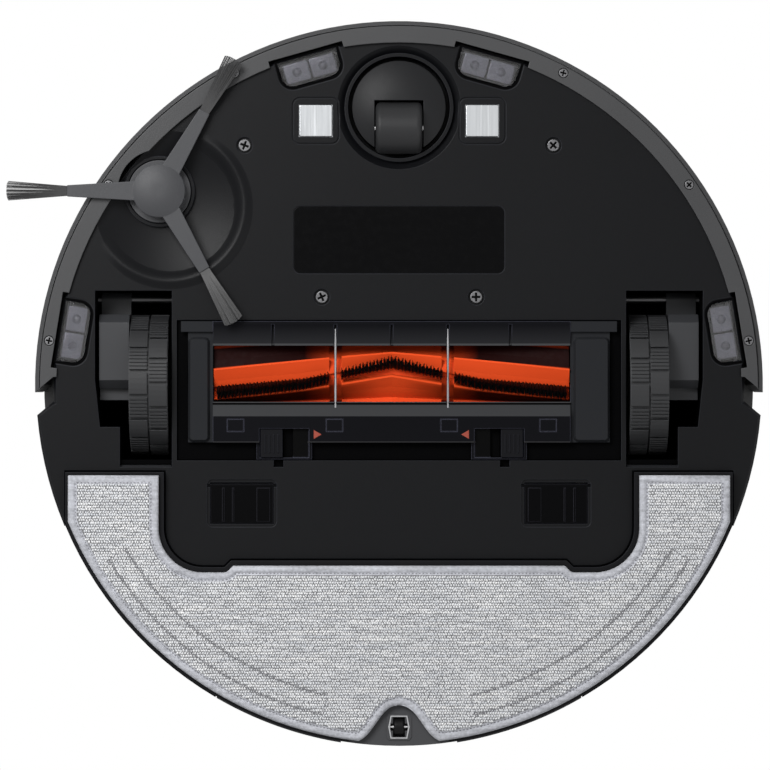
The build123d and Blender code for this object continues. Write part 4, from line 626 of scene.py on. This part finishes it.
# Roller brush: a core with chevron blades in orange-red rubber, moulded over a plastic tube that
# turns in a bearing at each end. One valley of each quarter is painted near black towards the ends:
# painted shade.
roller_colour = (0.86, 0.082, 0.017)
bearing_colour = (0.02, 0.02, 0.022)
roller_red = moulded(
    "roller_red",
    roller_colour,
    roughness=0.55,
    cells=420.0,
    relief=0.05,
    edge=0.3,
    edge_highlight_gain=1.6,
    specular=0.06,
)
roller_axis = (-5.0, 26.5)
roller_middle = -3.5
roller_half = 85.4
valley_shade_colour = (0.010, 0.0007, 0.0005)
shade_starts, shade_full = 6.0, 42.0
valley_turn, valley_lag = 27.0, 34.0
valley_inner, valley_outer = 15.0, 22.0


def maths(tree, operation, *values):
    """One Math node on numbers or links."""
    return add_node(tree, "Math", dict(enumerate(values)), operation=operation)[0]


# One valley of each quarter is painted near black towards the ends: painted shade.
tree = roller_red.node_tree
axis_point = [c * mm for c in (roller_middle, *roller_axis)]
here = add_node(tree, "TexCoord", {})["Object"]
outward = add_node(tree, "VectorMath", {0: here, 1: axis_point}, operation="SUBTRACT")["Vector"]
place = add_node(tree, "SeparateXYZ", {0: outward})
along = maths(tree, "ABSOLUTE", place["X"])
down = maths(tree, "MULTIPLY", place["Z"], -1.0)
turn = maths(tree, "ARCTAN2", place["Y"], down)
lag_rate = -radians(valley_lag) / (roller_half * mm)
straight = maths(tree, "MULTIPLY_ADD", along, lag_rate, turn)
centred = maths(tree, "SUBTRACT", straight, radians(valley_turn))
sector = maths(tree, "WRAP", centred, pi / 4, -pi / 4)
off_middle = maths(tree, "ABSOLUTE", sector)
low, high = radians(valley_inner), radians(valley_outer)
in_valley = add_node(tree, "MapRange", {0: off_middle, 1: low, 2: high, 3: 1.0, 4: 0.0})["Result"]
low, high = shade_starts * mm, shade_full * mm
near_end = add_node(tree, "MapRange", {0: along, 1: low, 2: high, 3: 0.0, 4: 1.0})["Result"]
valley_shade = maths(tree, "MULTIPLY", in_valley, near_end)
painted(roller_red, valley_shade, valley_shade_colour)
dress(roller_red, "brush_roller")
bearing_grey = moulded(
    "bearing_grey", bearing_colour, roughness=0.45, cells=2400.0, relief=0.04, specular=0.2
)
dress(bearing_grey, "left_brush_bearing", "right_brush_bearing")


# Roller bristles: four rows of black nylon tufts set in strips between the blades, in the same
# chevron. Each tuft is a bundle of stiff tapered strands that splay a little towards their tips.
bristle_root = 13.2
bristle_reach = 21.0
bristle_rows = 4
row_turns = (-19.0, 14.0, 30.0)
wire_places = (-30.5, 23.5)
wire_clear = 2.7
tuft_pitch = 1.7
tuft_strands = 26
tuft_root_half = (0.55, 1.9)
tuft_tip_half = (0.95, 3.4)
tuft_twist = 2.4
tuft_thick = 0.3
tip_clear, tip_ragged = 0.3, 1.2
strand_taper = 0.55
bristle_colour = (0.0022, 0.0022, 0.0024)


def strand(bm, root, tip, thick):
    """One tapered three-sided strand between two points."""
    along = tip - root
    turn = along.to_track_quat("Z", "Y").to_matrix().to_4x4()
    place = Matrix.Translation((root + tip) / 2) @ turn
    bmesh.ops.create_cone(
        bm,
        cap_ends=True,
        segments=3,
        radius1=thick,
        radius2=strand_taper * thick,
        depth=along.length,
        matrix=place,
    )


def row_turn(x, row):
    """Angle of a bristle row at a place along the roller, from straight down to the rear."""
    along = abs(x - roller_middle) / roller_half * (len(row_turns) - 1)
    step = min(int(along), len(row_turns) - 2)
    bend = row_turns[step] + (row_turns[step + 1] - row_turns[step]) * (along - step)
    return radians(bend + row * 360 / bristle_rows)


nylon_black = moulded(
    "nylon_black",
    bristle_colour,
    roughness=0.45,
    cells=2000.0,
    relief=0.01,
    edge=0.05,
    edge_highlight_gain=1.5,
    specular=0.05,
)
tuft = bmesh.new()
for index in range(tuft_strands):
    turn = index * tuft_twist
    spread = (index + 0.5) / tuft_strands
    x, y = spread * cos(turn), spread * sin(turn)
    length = bristle_reach - bristle_root - tip_clear - tip_ragged * spread * (index % 3) / 2
    root = Vector((x * tuft_root_half[0], y * tuft_root_half[1], 0))
    tip = Vector((x * tuft_tip_half[0], y * tuft_tip_half[1], length))
    strand(tuft, root * mm, tip * mm, tuft_thick * mm)
tuft_mesh = kept_mesh(tuft)
rows = bmesh.new()
tuft_count = int(2 * roller_half / tuft_pitch) - 1
for row in range(bristle_rows):
    for index in range(tuft_count):
        x = roller_middle + (index - (tuft_count - 1) / 2) * tuft_pitch
        if min(abs(x - wire) for wire in wire_places) < wire_clear:
            continue
        turn = row_turn(x, row)
        stand = Vector((0, sin(turn), -cos(turn)))
        foot = Vector((x, *roller_axis)) + stand * bristle_root
        swing = Matrix.Rotation(pi + turn, 4, "X") @ Matrix.Rotation(index * pi, 4, "Z")
        add_copy(rows, tuft_mesh, Matrix.Translation(foot * mm) @ swing)
roller_bristles = new_piece("roller_tufts", rows, nylon_black, "main_brush")
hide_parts("brush_bristles")


# Brush cover: a satin grey frame that clips over the roller, with two steel wires across its mouth
# that keep rugs out, two sliding latches and a printed arrow beside each latch. Its front ramp curls
# up to the mouth. The ramp carries a painted sheen; the pale rear lip and the pale lines at the
# mouth's edges and near the rear edge are painted highlights; the dark line behind the mouth and the
# latches' recesses are painted shade.
frame_grey = (0.0036, 0.0037, 0.0050)
lip_highlight_grey = (0.041, 0.042, 0.0445)
highlight_line_grey = (0.058, 0.059, 0.062)
rear_highlight_grey = (0.030, 0.030, 0.0315)
shade_black = (0.0005, 0.0005, 0.0006)
cover_light_and_shade_bands = (
    (7.9, 15.0, lip_highlight_grey),
    (8.5, 9.5, shade_black),
    (7.9, 8.45, highlight_line_grey),
    (27.1, 27.8, rear_highlight_grey),
    (-19.9, -18.5, highlight_line_grey),
)
ramp_sheen_grey = (0.018, 0.0183, 0.0205)
ramp_lines = (-28.8, -20.4)
recess_reach = (40.4, 47.5)
recess_lines = (21.0, 34.2)
member_grey = (0.020, 0.021, 0.0235)
mouth_half = 86.0
wire_colour = (0.27, 0.27, 0.28)
arrow_colour = (0.30, 0.05, 0.028)
arrow_points = ((-39.65, 23.75, -pi / 2), (32.35, 23.75, pi / 2))
arrow_reach = 2.5
arrow_depth = 0.1
grip_ribs = 4
grip_size = (0.9, 9.0, 0.8)
grip_inset = 7.0
grip_round = 0.2


def between(tree, value, low, high):
    """A mask that is 1 where a value lies between two places in millimetres."""
    middle, half = (low + high) / 2 * mm, (high - low) / 2 * mm
    return maths(tree, "COMPARE", value, middle, half)


latch_grey = moulded(
    "latch_grey", frame_grey, roughness=0.42, cells=2400.0, relief=0.04, edge_highlight_gain=10.0, specular=0.08
)
dress(latch_grey, "left_latch", "right_latch")
cover_grey = moulded(
    "cover_grey",
    frame_grey,
    roughness=0.4,
    cells=2400.0,
    relief=0.04,
    edge=0.5,
    edge_highlight_gain=22.0,
    specular=0.04,
)
tree = cover_grey.node_tree
place = add_node(tree, "SeparateXYZ", {0: add_node(tree, "TexCoord", {})["Object"]})
# The ramp is painted paler towards the mouth: a painted sheen.
low, high = (line * mm for line in ramp_lines)
ramp_sheen_share = add_node(tree, "MapRange", {0: place["Y"], 1: low, 2: high})["Result"]
in_front = maths(tree, "LESS_THAN", place["Y"], 0.0)
on_ramp_sheen = maths(tree, "MULTIPLY", ramp_sheen_share, in_front)
painted(cover_grey, on_ramp_sheen, ramp_sheen_grey)
# Bands across the cover: the pale lip and the pale edge lines are painted highlights, the dark line is
# painted shade.
for front, back, colour in cover_light_and_shade_bands:
    painted(cover_grey, between(tree, place["Y"], front, back), colour)
# The latches' recesses are painted near black: painted shade.
aside = maths(tree, "SUBTRACT", place["X"], roller_middle * mm)
off_middle = maths(tree, "ABSOLUTE", aside)
in_reach = between(tree, off_middle, *recess_reach)
in_lines = between(tree, place["Y"], *recess_lines)
in_shade = maths(tree, "MULTIPLY", in_reach, in_lines)
painted(cover_grey, in_shade, shade_black)
outside = maths(tree, "GREATER_THAN", off_middle, mouth_half * mm)
painted(cover_grey, outside, member_grey)
dress(cover_grey, "brush_cover")
wire_steel = metal("wire_steel", wire_colour, roughness=0.3, along="Y", stretch=12.0, relief=0.003)
dress(wire_steel, "guard_wires")
arrow_print = moulded(
    "arrow_print", arrow_colour, roughness=0.5, cells=900.0, relief=0.02, edge_highlight_gain=1.2
)
arrows = bmesh.new()
arrow_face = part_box("brush_cover")[0].z
for x, y, turn in arrow_points:
    bmesh.ops.create_cone(
        arrows,
        cap_ends=True,
        segments=3,
        radius1=arrow_reach * mm,
        radius2=arrow_reach * mm,
        depth=arrow_depth * mm,
        matrix=Matrix.Translation((x * mm, y * mm, arrow_face)) @ Matrix.Rotation(turn, 4, "Z"),
    )
new_piece("latch_arrows", arrows, arrow_print, "chassis")
for side in ("left", "right"):
    low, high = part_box(f"{side}_latch")
    bm = bmesh.new()
    for rib in range(grip_ribs):
        x = low.x + (high.x - low.x) * (rib + 1) / (grip_ribs + 1)
        spot = Matrix.Translation((x, low.y + grip_inset * mm, low.z))
        bmesh.ops.create_cube(bm, size=mm, matrix=spot @ Matrix.Diagonal((*grip_size, 1)))
    rounded(bm, bm.edges[:], grip_round * mm)
    new_piece(f"{side}_latch_grip", bm, latch_grey, f"{side}_latch")


# Ridge beside the side brush: the floor swells into a soft rim round the inner side of the brush's
# bowl, which turns hair away from the hub. It is moulded with the floor and fades out at both ends.
bowl_middle = (-109.9, -85.7)
bowl_reach = 36.0
bowl_slope = 0.30
ridge_reach = 35.2
ridge_half = 5.2
ridge_rise = 1.2
ridge_ends = (-80.0, 160.0)
ridge_fade = 45.0
ridge_sink = 0.06
ridge_depth = 0.8
ridge_cells = (60, 12)
floor_face = 10.5
ridge = bmesh.new()
bmesh.ops.create_grid(ridge, x_segments=ridge_cells[0], y_segments=ridge_cells[1], size=1.0)
for vert in ridge.verts:
    along, across = (vert.co.x + 1) / 2, vert.co.y
    angle = ridge_ends[0] + along * (ridge_ends[1] - ridge_ends[0])
    near_end = min(1.0, (angle - ridge_ends[0]) / ridge_fade, (ridge_ends[1] - angle) / ridge_fade)
    swell = ridge_rise * sin(near_end * pi / 2) ** 2 * cos(across * pi / 2) ** 2
    reach = ridge_reach + across * ridge_half
    ground = floor_face + bowl_slope * max(0.0, bowl_reach - reach) + ridge_sink
    x = bowl_middle[0] + reach * cos(radians(angle))
    y = bowl_middle[1] + reach * sin(radians(angle))
    vert.co = Vector((x, y, ground - swell)) * mm
ridge_rim = [edge for edge in ridge.edges if edge.is_boundary]
thickened(ridge, ridge_depth * mm)
for edge in ridge_rim:
    edge.smooth = False
new_piece("brush_ridge", ridge, chassis_black, "chassis", smooth=True)


# Side brush: a soft grey rubber spider with three arms, each holding a flat fan of nylon bristles.
# It snaps on the gearbox's square shaft; the bristles sweep just above the floor.
spider_colour = (0.045, 0.046, 0.050)
fan_colour = (0.030, 0.030, 0.031)
hub_at = (-115.2, -93.1)
arm_angles = (180.0, -60.0, 60.0)
fan_root, fan_tip = 43.2, 72.8
fan_root_z, fan_tip_z = 6.1, 2.2
fan_root_half, fan_tip_half = 2.2, 4.6
fan_columns, fan_rows = 22, 4
fan_root_layer, fan_tip_layer = 0.55, 0.5
fan_thick = 0.17
fan_round = 0.9
fan_scatter, fan_ragged = 0.12, 3.0
scatter_steps = (3.7, 5.1)
spider_grey = moulded(
    "spider_rubber", spider_colour, roughness=0.45, cells=2600.0, relief=0.08, edge=0.6, specular=0.3
)
dress(spider_grey, "side_brush_hub")
fan_grey = moulded("fan_nylon", fan_colour, roughness=0.38, cells=2000.0, relief=0.01, edge=0.05)
fans = bmesh.new()
hub = Vector((*hub_at, 0))
for angle in arm_angles:
    spin = Matrix.Rotation(radians(angle), 3, "Z")
    for column in range(fan_columns):
        across = 2 * column / (fan_columns - 1) - 1
        for row in range(fan_rows):
            level = row - (fan_rows - 1) / 2
            scatter = noise.noise((column * scatter_steps[0], row * scatter_steps[1], angle))
            shift = fan_scatter * scatter
            reach = fan_tip - fan_round * abs(across) ** 3 + fan_ragged * shift
            root = Vector((fan_root, across * fan_root_half, fan_root_z + level * fan_root_layer))
            tip = Vector((reach, (across + shift) * fan_tip_half, fan_tip_z + level * fan_tip_layer))
            strand(fans, (hub + spin @ root) * mm, (hub + spin @ tip) * mm, fan_thick * mm)
side_fans = new_piece("side_brush_fans", fans, fan_grey, "side_brush")
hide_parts("side_brush_bristles")


# Emptying ports: black flaps that swing up into the dust box when the station sucks.
# Moulded in a matt plastic like the floor, each on two little pins.
flap_colour = (0.0012, 0.0012, 0.0015)
flap_black = moulded(
    "flap_black", flap_colour, roughness=0.4, cells=2200.0, relief=0.05, edge_highlight_gain=30.0, specular=0.03
)
dress(flap_black, "left_port_flap", "right_port_flap")


# Mop carrier and tank: a black tray that slides in from behind, with the smoked water tank on it and
# a small guide roller in the middle of its rear edge, in a grey bell-shaped field with a bezel.
tray_black = (0.0046, 0.0047, 0.0058)
bell_grey = (0.066, 0.067, 0.071)
tank_colour = (0.020, 0.020, 0.022)
guide_colour = (0.006, 0.006, 0.0065)
bell_half = 24.0
bell_front = 150.0
bezel_at = (0.0, 164.0)
bezel_columns = (-6.1, -4.5, -2.9, 2.9, 4.5, 6.1)
bezel_lines = (-6.4, -4.7, -1.7, 1.7, 4.7, 6.4)
bezel_thick = 0.35
bezel_taper = 0.8
bezel_mouth, bezel_slot = 4.6, 1.0
outline_width = 0.7
outline_flank = 5.1
outline_stretch = (8.0, 6.35)
outline_raise = 0.5
outline_colour = (0.46, 0.465, 0.475)


def bell_toned(name, inside):
    """Tray plastic that is grey in the bell-shaped field and black outside it."""
    material = moulded(
        name, tray_black, roughness=0.42, cells=2400.0, relief=0.04, edge_highlight_gain=6.0, specular=0.1
    )
    tree = material.node_tree
    place = add_node(tree, "SeparateXYZ", {0: add_node(tree, "TexCoord", {})["Object"]})
    narrow = maths(tree, "COMPARE", place["X"], 0.0, bell_half * mm)
    behind = maths(tree, "GREATER_THAN", place["Y"], bell_front * mm)
    painted(material, maths(tree, "MULTIPLY", narrow, behind), inside)
    return material


tray_plastic = bell_toned("mop_tray", bell_grey)
dress(tray_plastic, "mop_plate")
tank_smoke = moulded("tank_smoke", tank_colour, roughness=0.16, cells=40.0, relief=0.01, specular=0.3)
dress(tank_smoke, "water_tank")
guide_nylon = moulded(
    "guide_nylon", guide_colour, roughness=0.4, cells=1600.0, relief=0.03, specular=0.1
)
dress(guide_nylon, "rear_roller")

bezel_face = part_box("mop_plate")[0].z
bezel = bmesh.new()
bmesh.ops.create_grid(bezel, x_segments=5, y_segments=5, size=1.0)
for vert in bezel.verts:
    column, line = (round((c + 1) * 2.5) for c in vert.co.xy)
    narrow = bezel_taper if line in (0, 5) else 1.0
    vert.co.xy = bezel_columns[column] * narrow * mm, bezel_lines[line] * mm
mouth = []
for face in bezel.faces:
    x, y = (abs(c) / mm for c in face.calc_center_median().xy)
    if max(x, y) < bezel_mouth and min(x, y) < bezel_slot:
        mouth.append(face)
bmesh.ops.delete(bezel, geom=mouth, context="FACES")
thickened(bezel, bezel_thick * mm)
bezel_place = (bezel_at[0] * mm, bezel_at[1] * mm, bezel_face - bezel_thick * mm)
bmesh.ops.translate(bezel, vec=bezel_place, verts=bezel.verts)
new_piece("guide_bezel", bezel, tray_plastic, "mop_module")

outline = bmesh.new()
flat_top = Matrix.Rotation(radians(30), 4, "Z")
bmesh.ops.create_circle(outline, cap_ends=True, segments=6, radius=1.0, matrix=flat_top)
for vert in outline.verts:
    x, y = vert.co.xy
    if abs(y) < 0.1:
        vert.co.xy = outline_flank * mm * x, 0.0
    else:
        vert.co.xy = outline_stretch[0] * mm * x, outline_stretch[1] * mm * y
hexagon = outline.faces[:]
bmesh.ops.inset_region(outline, faces=hexagon, thickness=outline_width * mm, use_boundary=True)
bmesh.ops.delete(outline, geom=hexagon, context="FACES")
thickened(outline, bezel_thick * mm)
outline_place = (bezel_place[0], bezel_place[1], bezel_place[2] - outline_raise * bezel_thick * mm)
bmesh.ops.translate(outline, vec=outline_place, verts=outline.verts)
outline_grey = moulded(
    "outline_grey", outline_colour, roughness=0.4, cells=2400.0, relief=0.02, edge_highlight_gain=1.3
)
new_piece("guide_outline", outline, outline_grey, "mop_module")


# Mop cloth: a pad of pale grey microfibre, looped on its working side, folded over into a hem and
# sewn down all round, with a hook patch sewn in behind each wing. It lies flat on the floor.
hem_colour = (0.50, 0.51, 0.55)
yarn_colour = (0.885, 0.915, 0.97)
ground_shade_colour = (0.20, 0.202, 0.212)
thread_colour = (0.22, 0.22, 0.24)
streak_cells = (35.0, 620.0, 35.0)
yarn_cells, fuzz_cells = 700.0, 2600.0
yarn_dark, yarn_pale = 0.74, 1.22
yarn_mix = (0.7, 1.3)
fuzz_height = 0.12
fuzz_roughness = (0.8, 0.98)
cloth_specular, cloth_sheen = 0.15, 0.2
weld, outline_weld, hem_weld = 0.001, 0.85, 0.5
hem_steps = (
    (0.6, 0.85),
    (0.7, 0.42),
    (0.8, 0.36),
    (0.7, 0.45),
    (0.4, 0.95),
    (0.4, 1.00),
    (0.4, 0.55),
    (0.4, 0.42),
)
stitch_step = 5
edge_height = 1.7
weave_cell = 4.0
field_height, field_wave, wave_cells = 0.40, 0.05, 60
stitch_pitch = 1.7
stitch_size = (0.5, 0.34, 0.3)
seam_height, patch_height = 1.0, 0.34
loop_pitch = (1.22, 1.30)
loop_size = (0.67, 0.93, 0.26)
loop_lean, lean_wander, lean_cells = 0.5, 0.6, 420
loop_drift, drift_cells = 0.3, 700
loop_growth, growth_wander, growth_cells = 1.02, 0.28, (130, 750)
loop_seed = 7
patch_arcs = (152.5, 162.0)
patch_span = (31.0, 77.0)
patch_line = 0.65
patch_press = 0.6
patch_steps = 30


def microfibre(name, colour, gap_shade_colour):
    """Knitted yarn: long streaks along the rows, single yarns lighter or darker, and a fine fuzz.
    Faces with the attribute field show the ground between the loops, painted dark: painted shade."""
    material, tree, shader = new_material(name)
    here = add_node(tree, "TexCoord", {})["Object"]
    rows = add_node(tree, "Mapping", {"Vector": here, "Scale": streak_cells})["Vector"]
    streak = speckle(tree, rows, 1.0, 2.0)
    single = speckle(tree, here, yarn_cells, 2.0)
    fuzz = speckle(tree, here, fuzz_cells, 3.0)
    both = maths(tree, "ADD", streak, single)
    pick = add_node(tree, "MapRange", {0: both, 1: yarn_mix[0], 2: yarn_mix[1]})["Result"]
    tone = mixed(tree, pick, scaled(colour, yarn_dark), scaled(colour, yarn_pale))
    # The ground between the loops is painted dark: painted shade.
    field = add_node(tree, "Attribute", {}, attribute_name="field")["Fac"]
    shown = mixed(tree, field, tone, (*gap_shade_colour, 1.0))
    bump = relieved(tree, fuzz, fuzz_height * mm)
    dull, dullest = fuzz_roughness
    rough = add_node(tree, "MapRange", {0: fuzz, 3: dull, 4: dullest})["Result"]
    tree.links.new(shown, shader.inputs["Base Color"])
    tree.links.new(bump, shader.inputs["Normal"])
    tree.links.new(rough, shader.inputs["Roughness"])
    shader.inputs["Specular IOR Level"].default_value = cloth_specular
    shader.inputs["Sheen Weight"].default_value = cloth_sheen
    return material


def pad_sole(bm):
    """The flat face under the pad."""
    bm.normal_update()
    return max((face for face in bm.faces if face.normal.z < -0.9), key=lambda face: face.calc_area())


cloth = microfibre("mop_cloth", hem_colour, ground_shade_colour)
yarn = microfibre("mop_yarn", yarn_colour, yarn_colour)
pad = bmesh.new()
pad.from_mesh(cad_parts["mop_pad"].data)
field_mark = pad.faces.layers.float.new("field")
bmesh.ops.remove_doubles(pad, verts=pad.verts, dist=weld * mm)
bmesh.ops.dissolve_limit(pad, angle_limit=radians(0.5), verts=pad.verts, edges=pad.edges)
bmesh.ops.remove_doubles(pad, verts=pad_sole(pad).verts, dist=outline_weld * mm)
sole = pad_sole(pad)
for vert in sole.verts:
    vert.co.z = edge_height * mm
for step, (width, height) in enumerate(hem_steps):
    bmesh.ops.inset_region(pad, faces=[sole], thickness=width * mm, use_even_offset=True)
    for vert in sole.verts:
        vert.co.z = height * mm
    bmesh.ops.remove_doubles(pad, verts=sole.verts, dist=hem_weld * mm)
    sole = pad_sole(pad)
    if step == stitch_step:
        seam = [vert.co.copy() for vert in sole.verts]
field = [sole, *sole.edges, *sole.verts]
low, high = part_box("mop_pad")
for axis in (0, 1):
    across = Vector((axis == 0, axis == 1, 0))
    for index in range(1, int((high[axis] - low[axis]) / (weave_cell * mm)) + 1):
        point = low + across * index * weave_cell * mm
        cut = bmesh.ops.bisect_plane(pad, geom=field, plane_co=point, plane_no=across, dist=weld * mm)
        field = cut["geom"]
field_faces = {part for part in field if isinstance(part, bmesh.types.BMFace)}
for face in field_faces:
    face[field_mark] = 1.0
for vert in {v for face in field_faces for v in face.verts}:
    if all(face in field_faces for face in vert.link_faces):
        vert.co.z = (field_height + field_wave * noise.noise(vert.co * wave_cells)) * mm
bmesh.ops.recalc_face_normals(pad, faces=pad.faces)
pad.faces.index_update()
field_indices = {face.index for face in field_faces}
ground = BVHTree.FromBMesh(pad)
cloth_pad = new_piece("mop_cloth_pad", pad, cloth, "mop_module", smooth=True)
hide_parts("mop_pad")

loop = bmesh.new()
bmesh.ops.create_uvsphere(loop, u_segments=4, v_segments=2, radius=mm)
bmesh.ops.scale(loop, vec=loop_size, verts=loop.verts)
loop_mesh = kept_mesh(loop)
loops = bmesh.new()
noise.seed_set(loop_seed)
columns, lines = (int((high[axis] - low[axis]) / (loop_pitch[axis] * mm)) for axis in (0, 1))
for column in range(columns):
    wale = bmesh.new()
    for line in range(lines):
        spot = Vector((low.x, low.y, -0.01))
        spot.x += (column + 0.5 + 0.5 * (line % 2)) * loop_pitch[0] * mm
        spot.y += (line + 0.5) * loop_pitch[1] * mm
        drift = noise.noise_vector(spot * drift_cells) * loop_drift * mm
        spot += Vector((drift.x, drift.y, 0))
        reach = spot.xy.length / mm
        on_line = min(abs(reach - arc) for arc in patch_arcs) < patch_line
        turn = Vector((abs(spot.x), spot.y)).angle_signed(Vector((1, 0)))
        pressed = on_line and radians(patch_span[0]) < turn < radians(patch_span[1])
        hit, _, face, _ = ground.ray_cast(spot, Vector((0, 0, 1)))
        if face not in field_indices:
            continue
        tilt = (2 * (line % 2) - 1) * loop_lean + lean_wander * noise.noise(spot * lean_cells)
        lean = Matrix.Rotation(tilt, 4, "Z")
        wander = noise.noise((spot.x * growth_cells[0], spot.y * growth_cells[1], 0.0))
        grow = loop_growth + growth_wander * wander
        if pressed:
            grow *= patch_press
        add_copy(wale, loop_mesh, Matrix.Translation(hit) @ lean @ Matrix.Scale(grow, 4))
    loops.from_mesh(kept_mesh(wale))
new_piece("mop_loops", loops, yarn, "mop_module", smooth=True)

stitch = bmesh.new()
bmesh.ops.create_uvsphere(stitch, u_segments=6, v_segments=4, radius=mm)
bmesh.ops.scale(stitch, vec=stitch_size, verts=stitch.verts)
stitch_mesh = kept_mesh(stitch)
stitches = bmesh.new()


def sew(path, height):
    """Stitches at an even pitch round a closed path."""
    travelled = 0.0
    for start, end in zip(path, path[1:] + path[:1]):
        run = end - start
        turn = run.to_track_quat("X", "Z").to_matrix().to_4x4()
        along = -travelled % (stitch_pitch * mm)
        while along < run.length:
            spot = start + run.normalized() * along
            spot.z = height * mm
            add_copy(stitches, stitch_mesh, Matrix.Translation(spot) @ turn)
            along += stitch_pitch * mm
        travelled += run.length


def patch_outline(side):
    """The sewn outline of one hook patch, a band along the rim."""
    first, last = patch_span
    turns = [radians(first + i * (last - first) / patch_steps) for i in range(patch_steps + 1)]
    there = [(patch_arcs[0], turn) for turn in turns]
    back_again = [(patch_arcs[1], turn) for turn in reversed(turns)]
    return [
        Vector((side * reach * cos(turn), reach * sin(turn), 0)) * mm
        for reach, turn in there + back_again
    ]


sew(seam, seam_height)
sew(patch_outline(-1), patch_height)
sew(patch_outline(1), patch_height)
thread = microfibre("sewing_thread", thread_colour, ground_shade_colour)
new_piece("mop_stitches", stitches, thread, "mop_module", smooth=True)


# Bumper: a sprung half ring of satin grey plastic, held by the six small screws in its flange, with a
# dark window across its front that lets infrared light through.
bumper_colour = (0.050, 0.0505, 0.0525)
infrared_colour = (0.006, 0.005, 0.006)
bumper_grey = moulded(
    "bumper_grey", bumper_colour, roughness=0.4, cells=2600.0, relief=0.05, edge=0.5, specular=0.25
)
dress(bumper_grey, "bumper")
dark_window = moulded("dark_window", infrared_colour, roughness=0.12, cells=30.0, relief=0.005)
dress(dark_window, "bumper_window")


# Upper shell, lid and turret: gloss black mouldings over the works. The turret's cap stands on five
# posts round the turning laser head, and the lid lifts on two pins over the dust box.
shell_colour = (0.0085, 0.0086, 0.0095)
laser_colour = (0.010, 0.010, 0.0105)
button_colour = (0.05, 0.05, 0.053)
shell_gloss = moulded(
    "shell_gloss",
    shell_colour,
    roughness=0.17,
    cells=400.0,
    relief=0.0015,
    edge=0.5,
    edge_highlight_gain=5.0,
    specular=0.4,
)
dress(shell_gloss, "upper_shell", "top_lid", "turret_cap", "turret_base", "turret_posts")
laser_black = moulded("laser_black", laser_colour, roughness=0.3, cells=900.0, relief=0.02)
dress(laser_black, "lidar_head")
button_gloss = moulded("button_gloss", button_colour, roughness=0.22, cells=200.0, relief=0.01)
dress(button_gloss, "power_button", "home_button")


# Stage: a pale floor that shows from above only, so that the underside can be seen from below, with
# soft lamps on both sides, a white surround and a camera straight below the machine.
floor_half = 3.0
floor_drop = 0.2
floor_pale = (0.80, 0.80, 0.80, 1.0)
bm = bmesh.new()
bmesh.ops.create_grid(bm, x_segments=1, y_segments=1, size=floor_half)
floor_mesh = kept_mesh(bm)
floor = bpy.data.objects.new("floor", floor_mesh)
floor.location.z = -floor_drop * mm
bpy.context.scene.collection.objects.link(floor)
floor_white, tree, shader = new_material("floor_white")
shader.inputs["Base Color"].default_value = floor_pale
shader.inputs["Roughness"].default_value = 0.9
shader.inputs["Specular IOR Level"].default_value = 0.1
back_side = add_node(tree, "NewGeometry", {})["Backfacing"]
clear = add_node(tree, "BsdfTransparent", {})["BSDF"]
shown = add_node(tree, "MixShader", {0: back_side, 1: shader.outputs["BSDF"], 2: clear})["Shader"]
tree.links.new(shown, tree.nodes["Material Output"].inputs["Surface"])
floor_mesh.materials.append(floor_white)
floor.visible_diffuse = False
floor.visible_glossy = False
floor.visible_transmission = False
floor.visible_shadow = False

world = bpy.data.worlds.new("studio")
bpy.context.scene.world = world
world.use_nodes = True
tree = world.node_tree
soft_level = 0.28
rays = add_node(tree, "LightPath", {})
seen = rays["Is Camera Ray"]
for kind in ("Is Glossy Ray", "Is Transmission Ray"):
    seen = maths(tree, "MAXIMUM", seen, rays[kind])
level = add_node(tree, "MapRange", {0: seen, 3: soft_level, 4: 1.0})["Result"]
surround = tree.nodes["Background"]
surround.inputs["Color"].default_value = (1.0, 1.0, 1.0, 1.0)
tree.links.new(level, surround.inputs["Strength"])

lamps = {
    "key_below": ((-0.45, -0.48, -0.90), 0.5, 11.2),
    "fill_below": ((0.9, 0.7, -1.5), 1.2, 4.4),
    "key_above": ((-0.8, -1.1, 1.5), 1.2, 29.0),
    "fill_above": ((1.2, 0.8, 1.2), 1.4, 10.0),
}
for name, (place, size, power) in lamps.items():
    lamp = bpy.data.lights.new(name, "AREA")
    lamp.size = size
    lamp.energy = power
    stand = bpy.data.objects.new(name, lamp)
    stand.location = place
    stand.rotation_euler = (-Vector(place)).to_track_quat("-Z", "Y").to_euler()
    bpy.context.scene.collection.objects.link(stand)

picture_width = 369.6
view_middle = (-6.7, 0.0, 8.0)
camera_distance = 2400.0
camera = bpy.data.cameras.new("camera")
camera.sensor_width = 36.0
camera.lens = camera.sensor_width * camera_distance / picture_width
camera.clip_end = 20.0
viewer = bpy.data.objects.new("camera", camera)
viewer.location = (Vector(view_middle) - Vector((0, 0, camera_distance))) * mm
viewer.rotation_euler = (pi, 0, 0)
bpy.context.scene.collection.objects.link(viewer)
bpy.context.scene.camera = viewer
bpy.context.scene.view_settings.view_transform = "Standard"
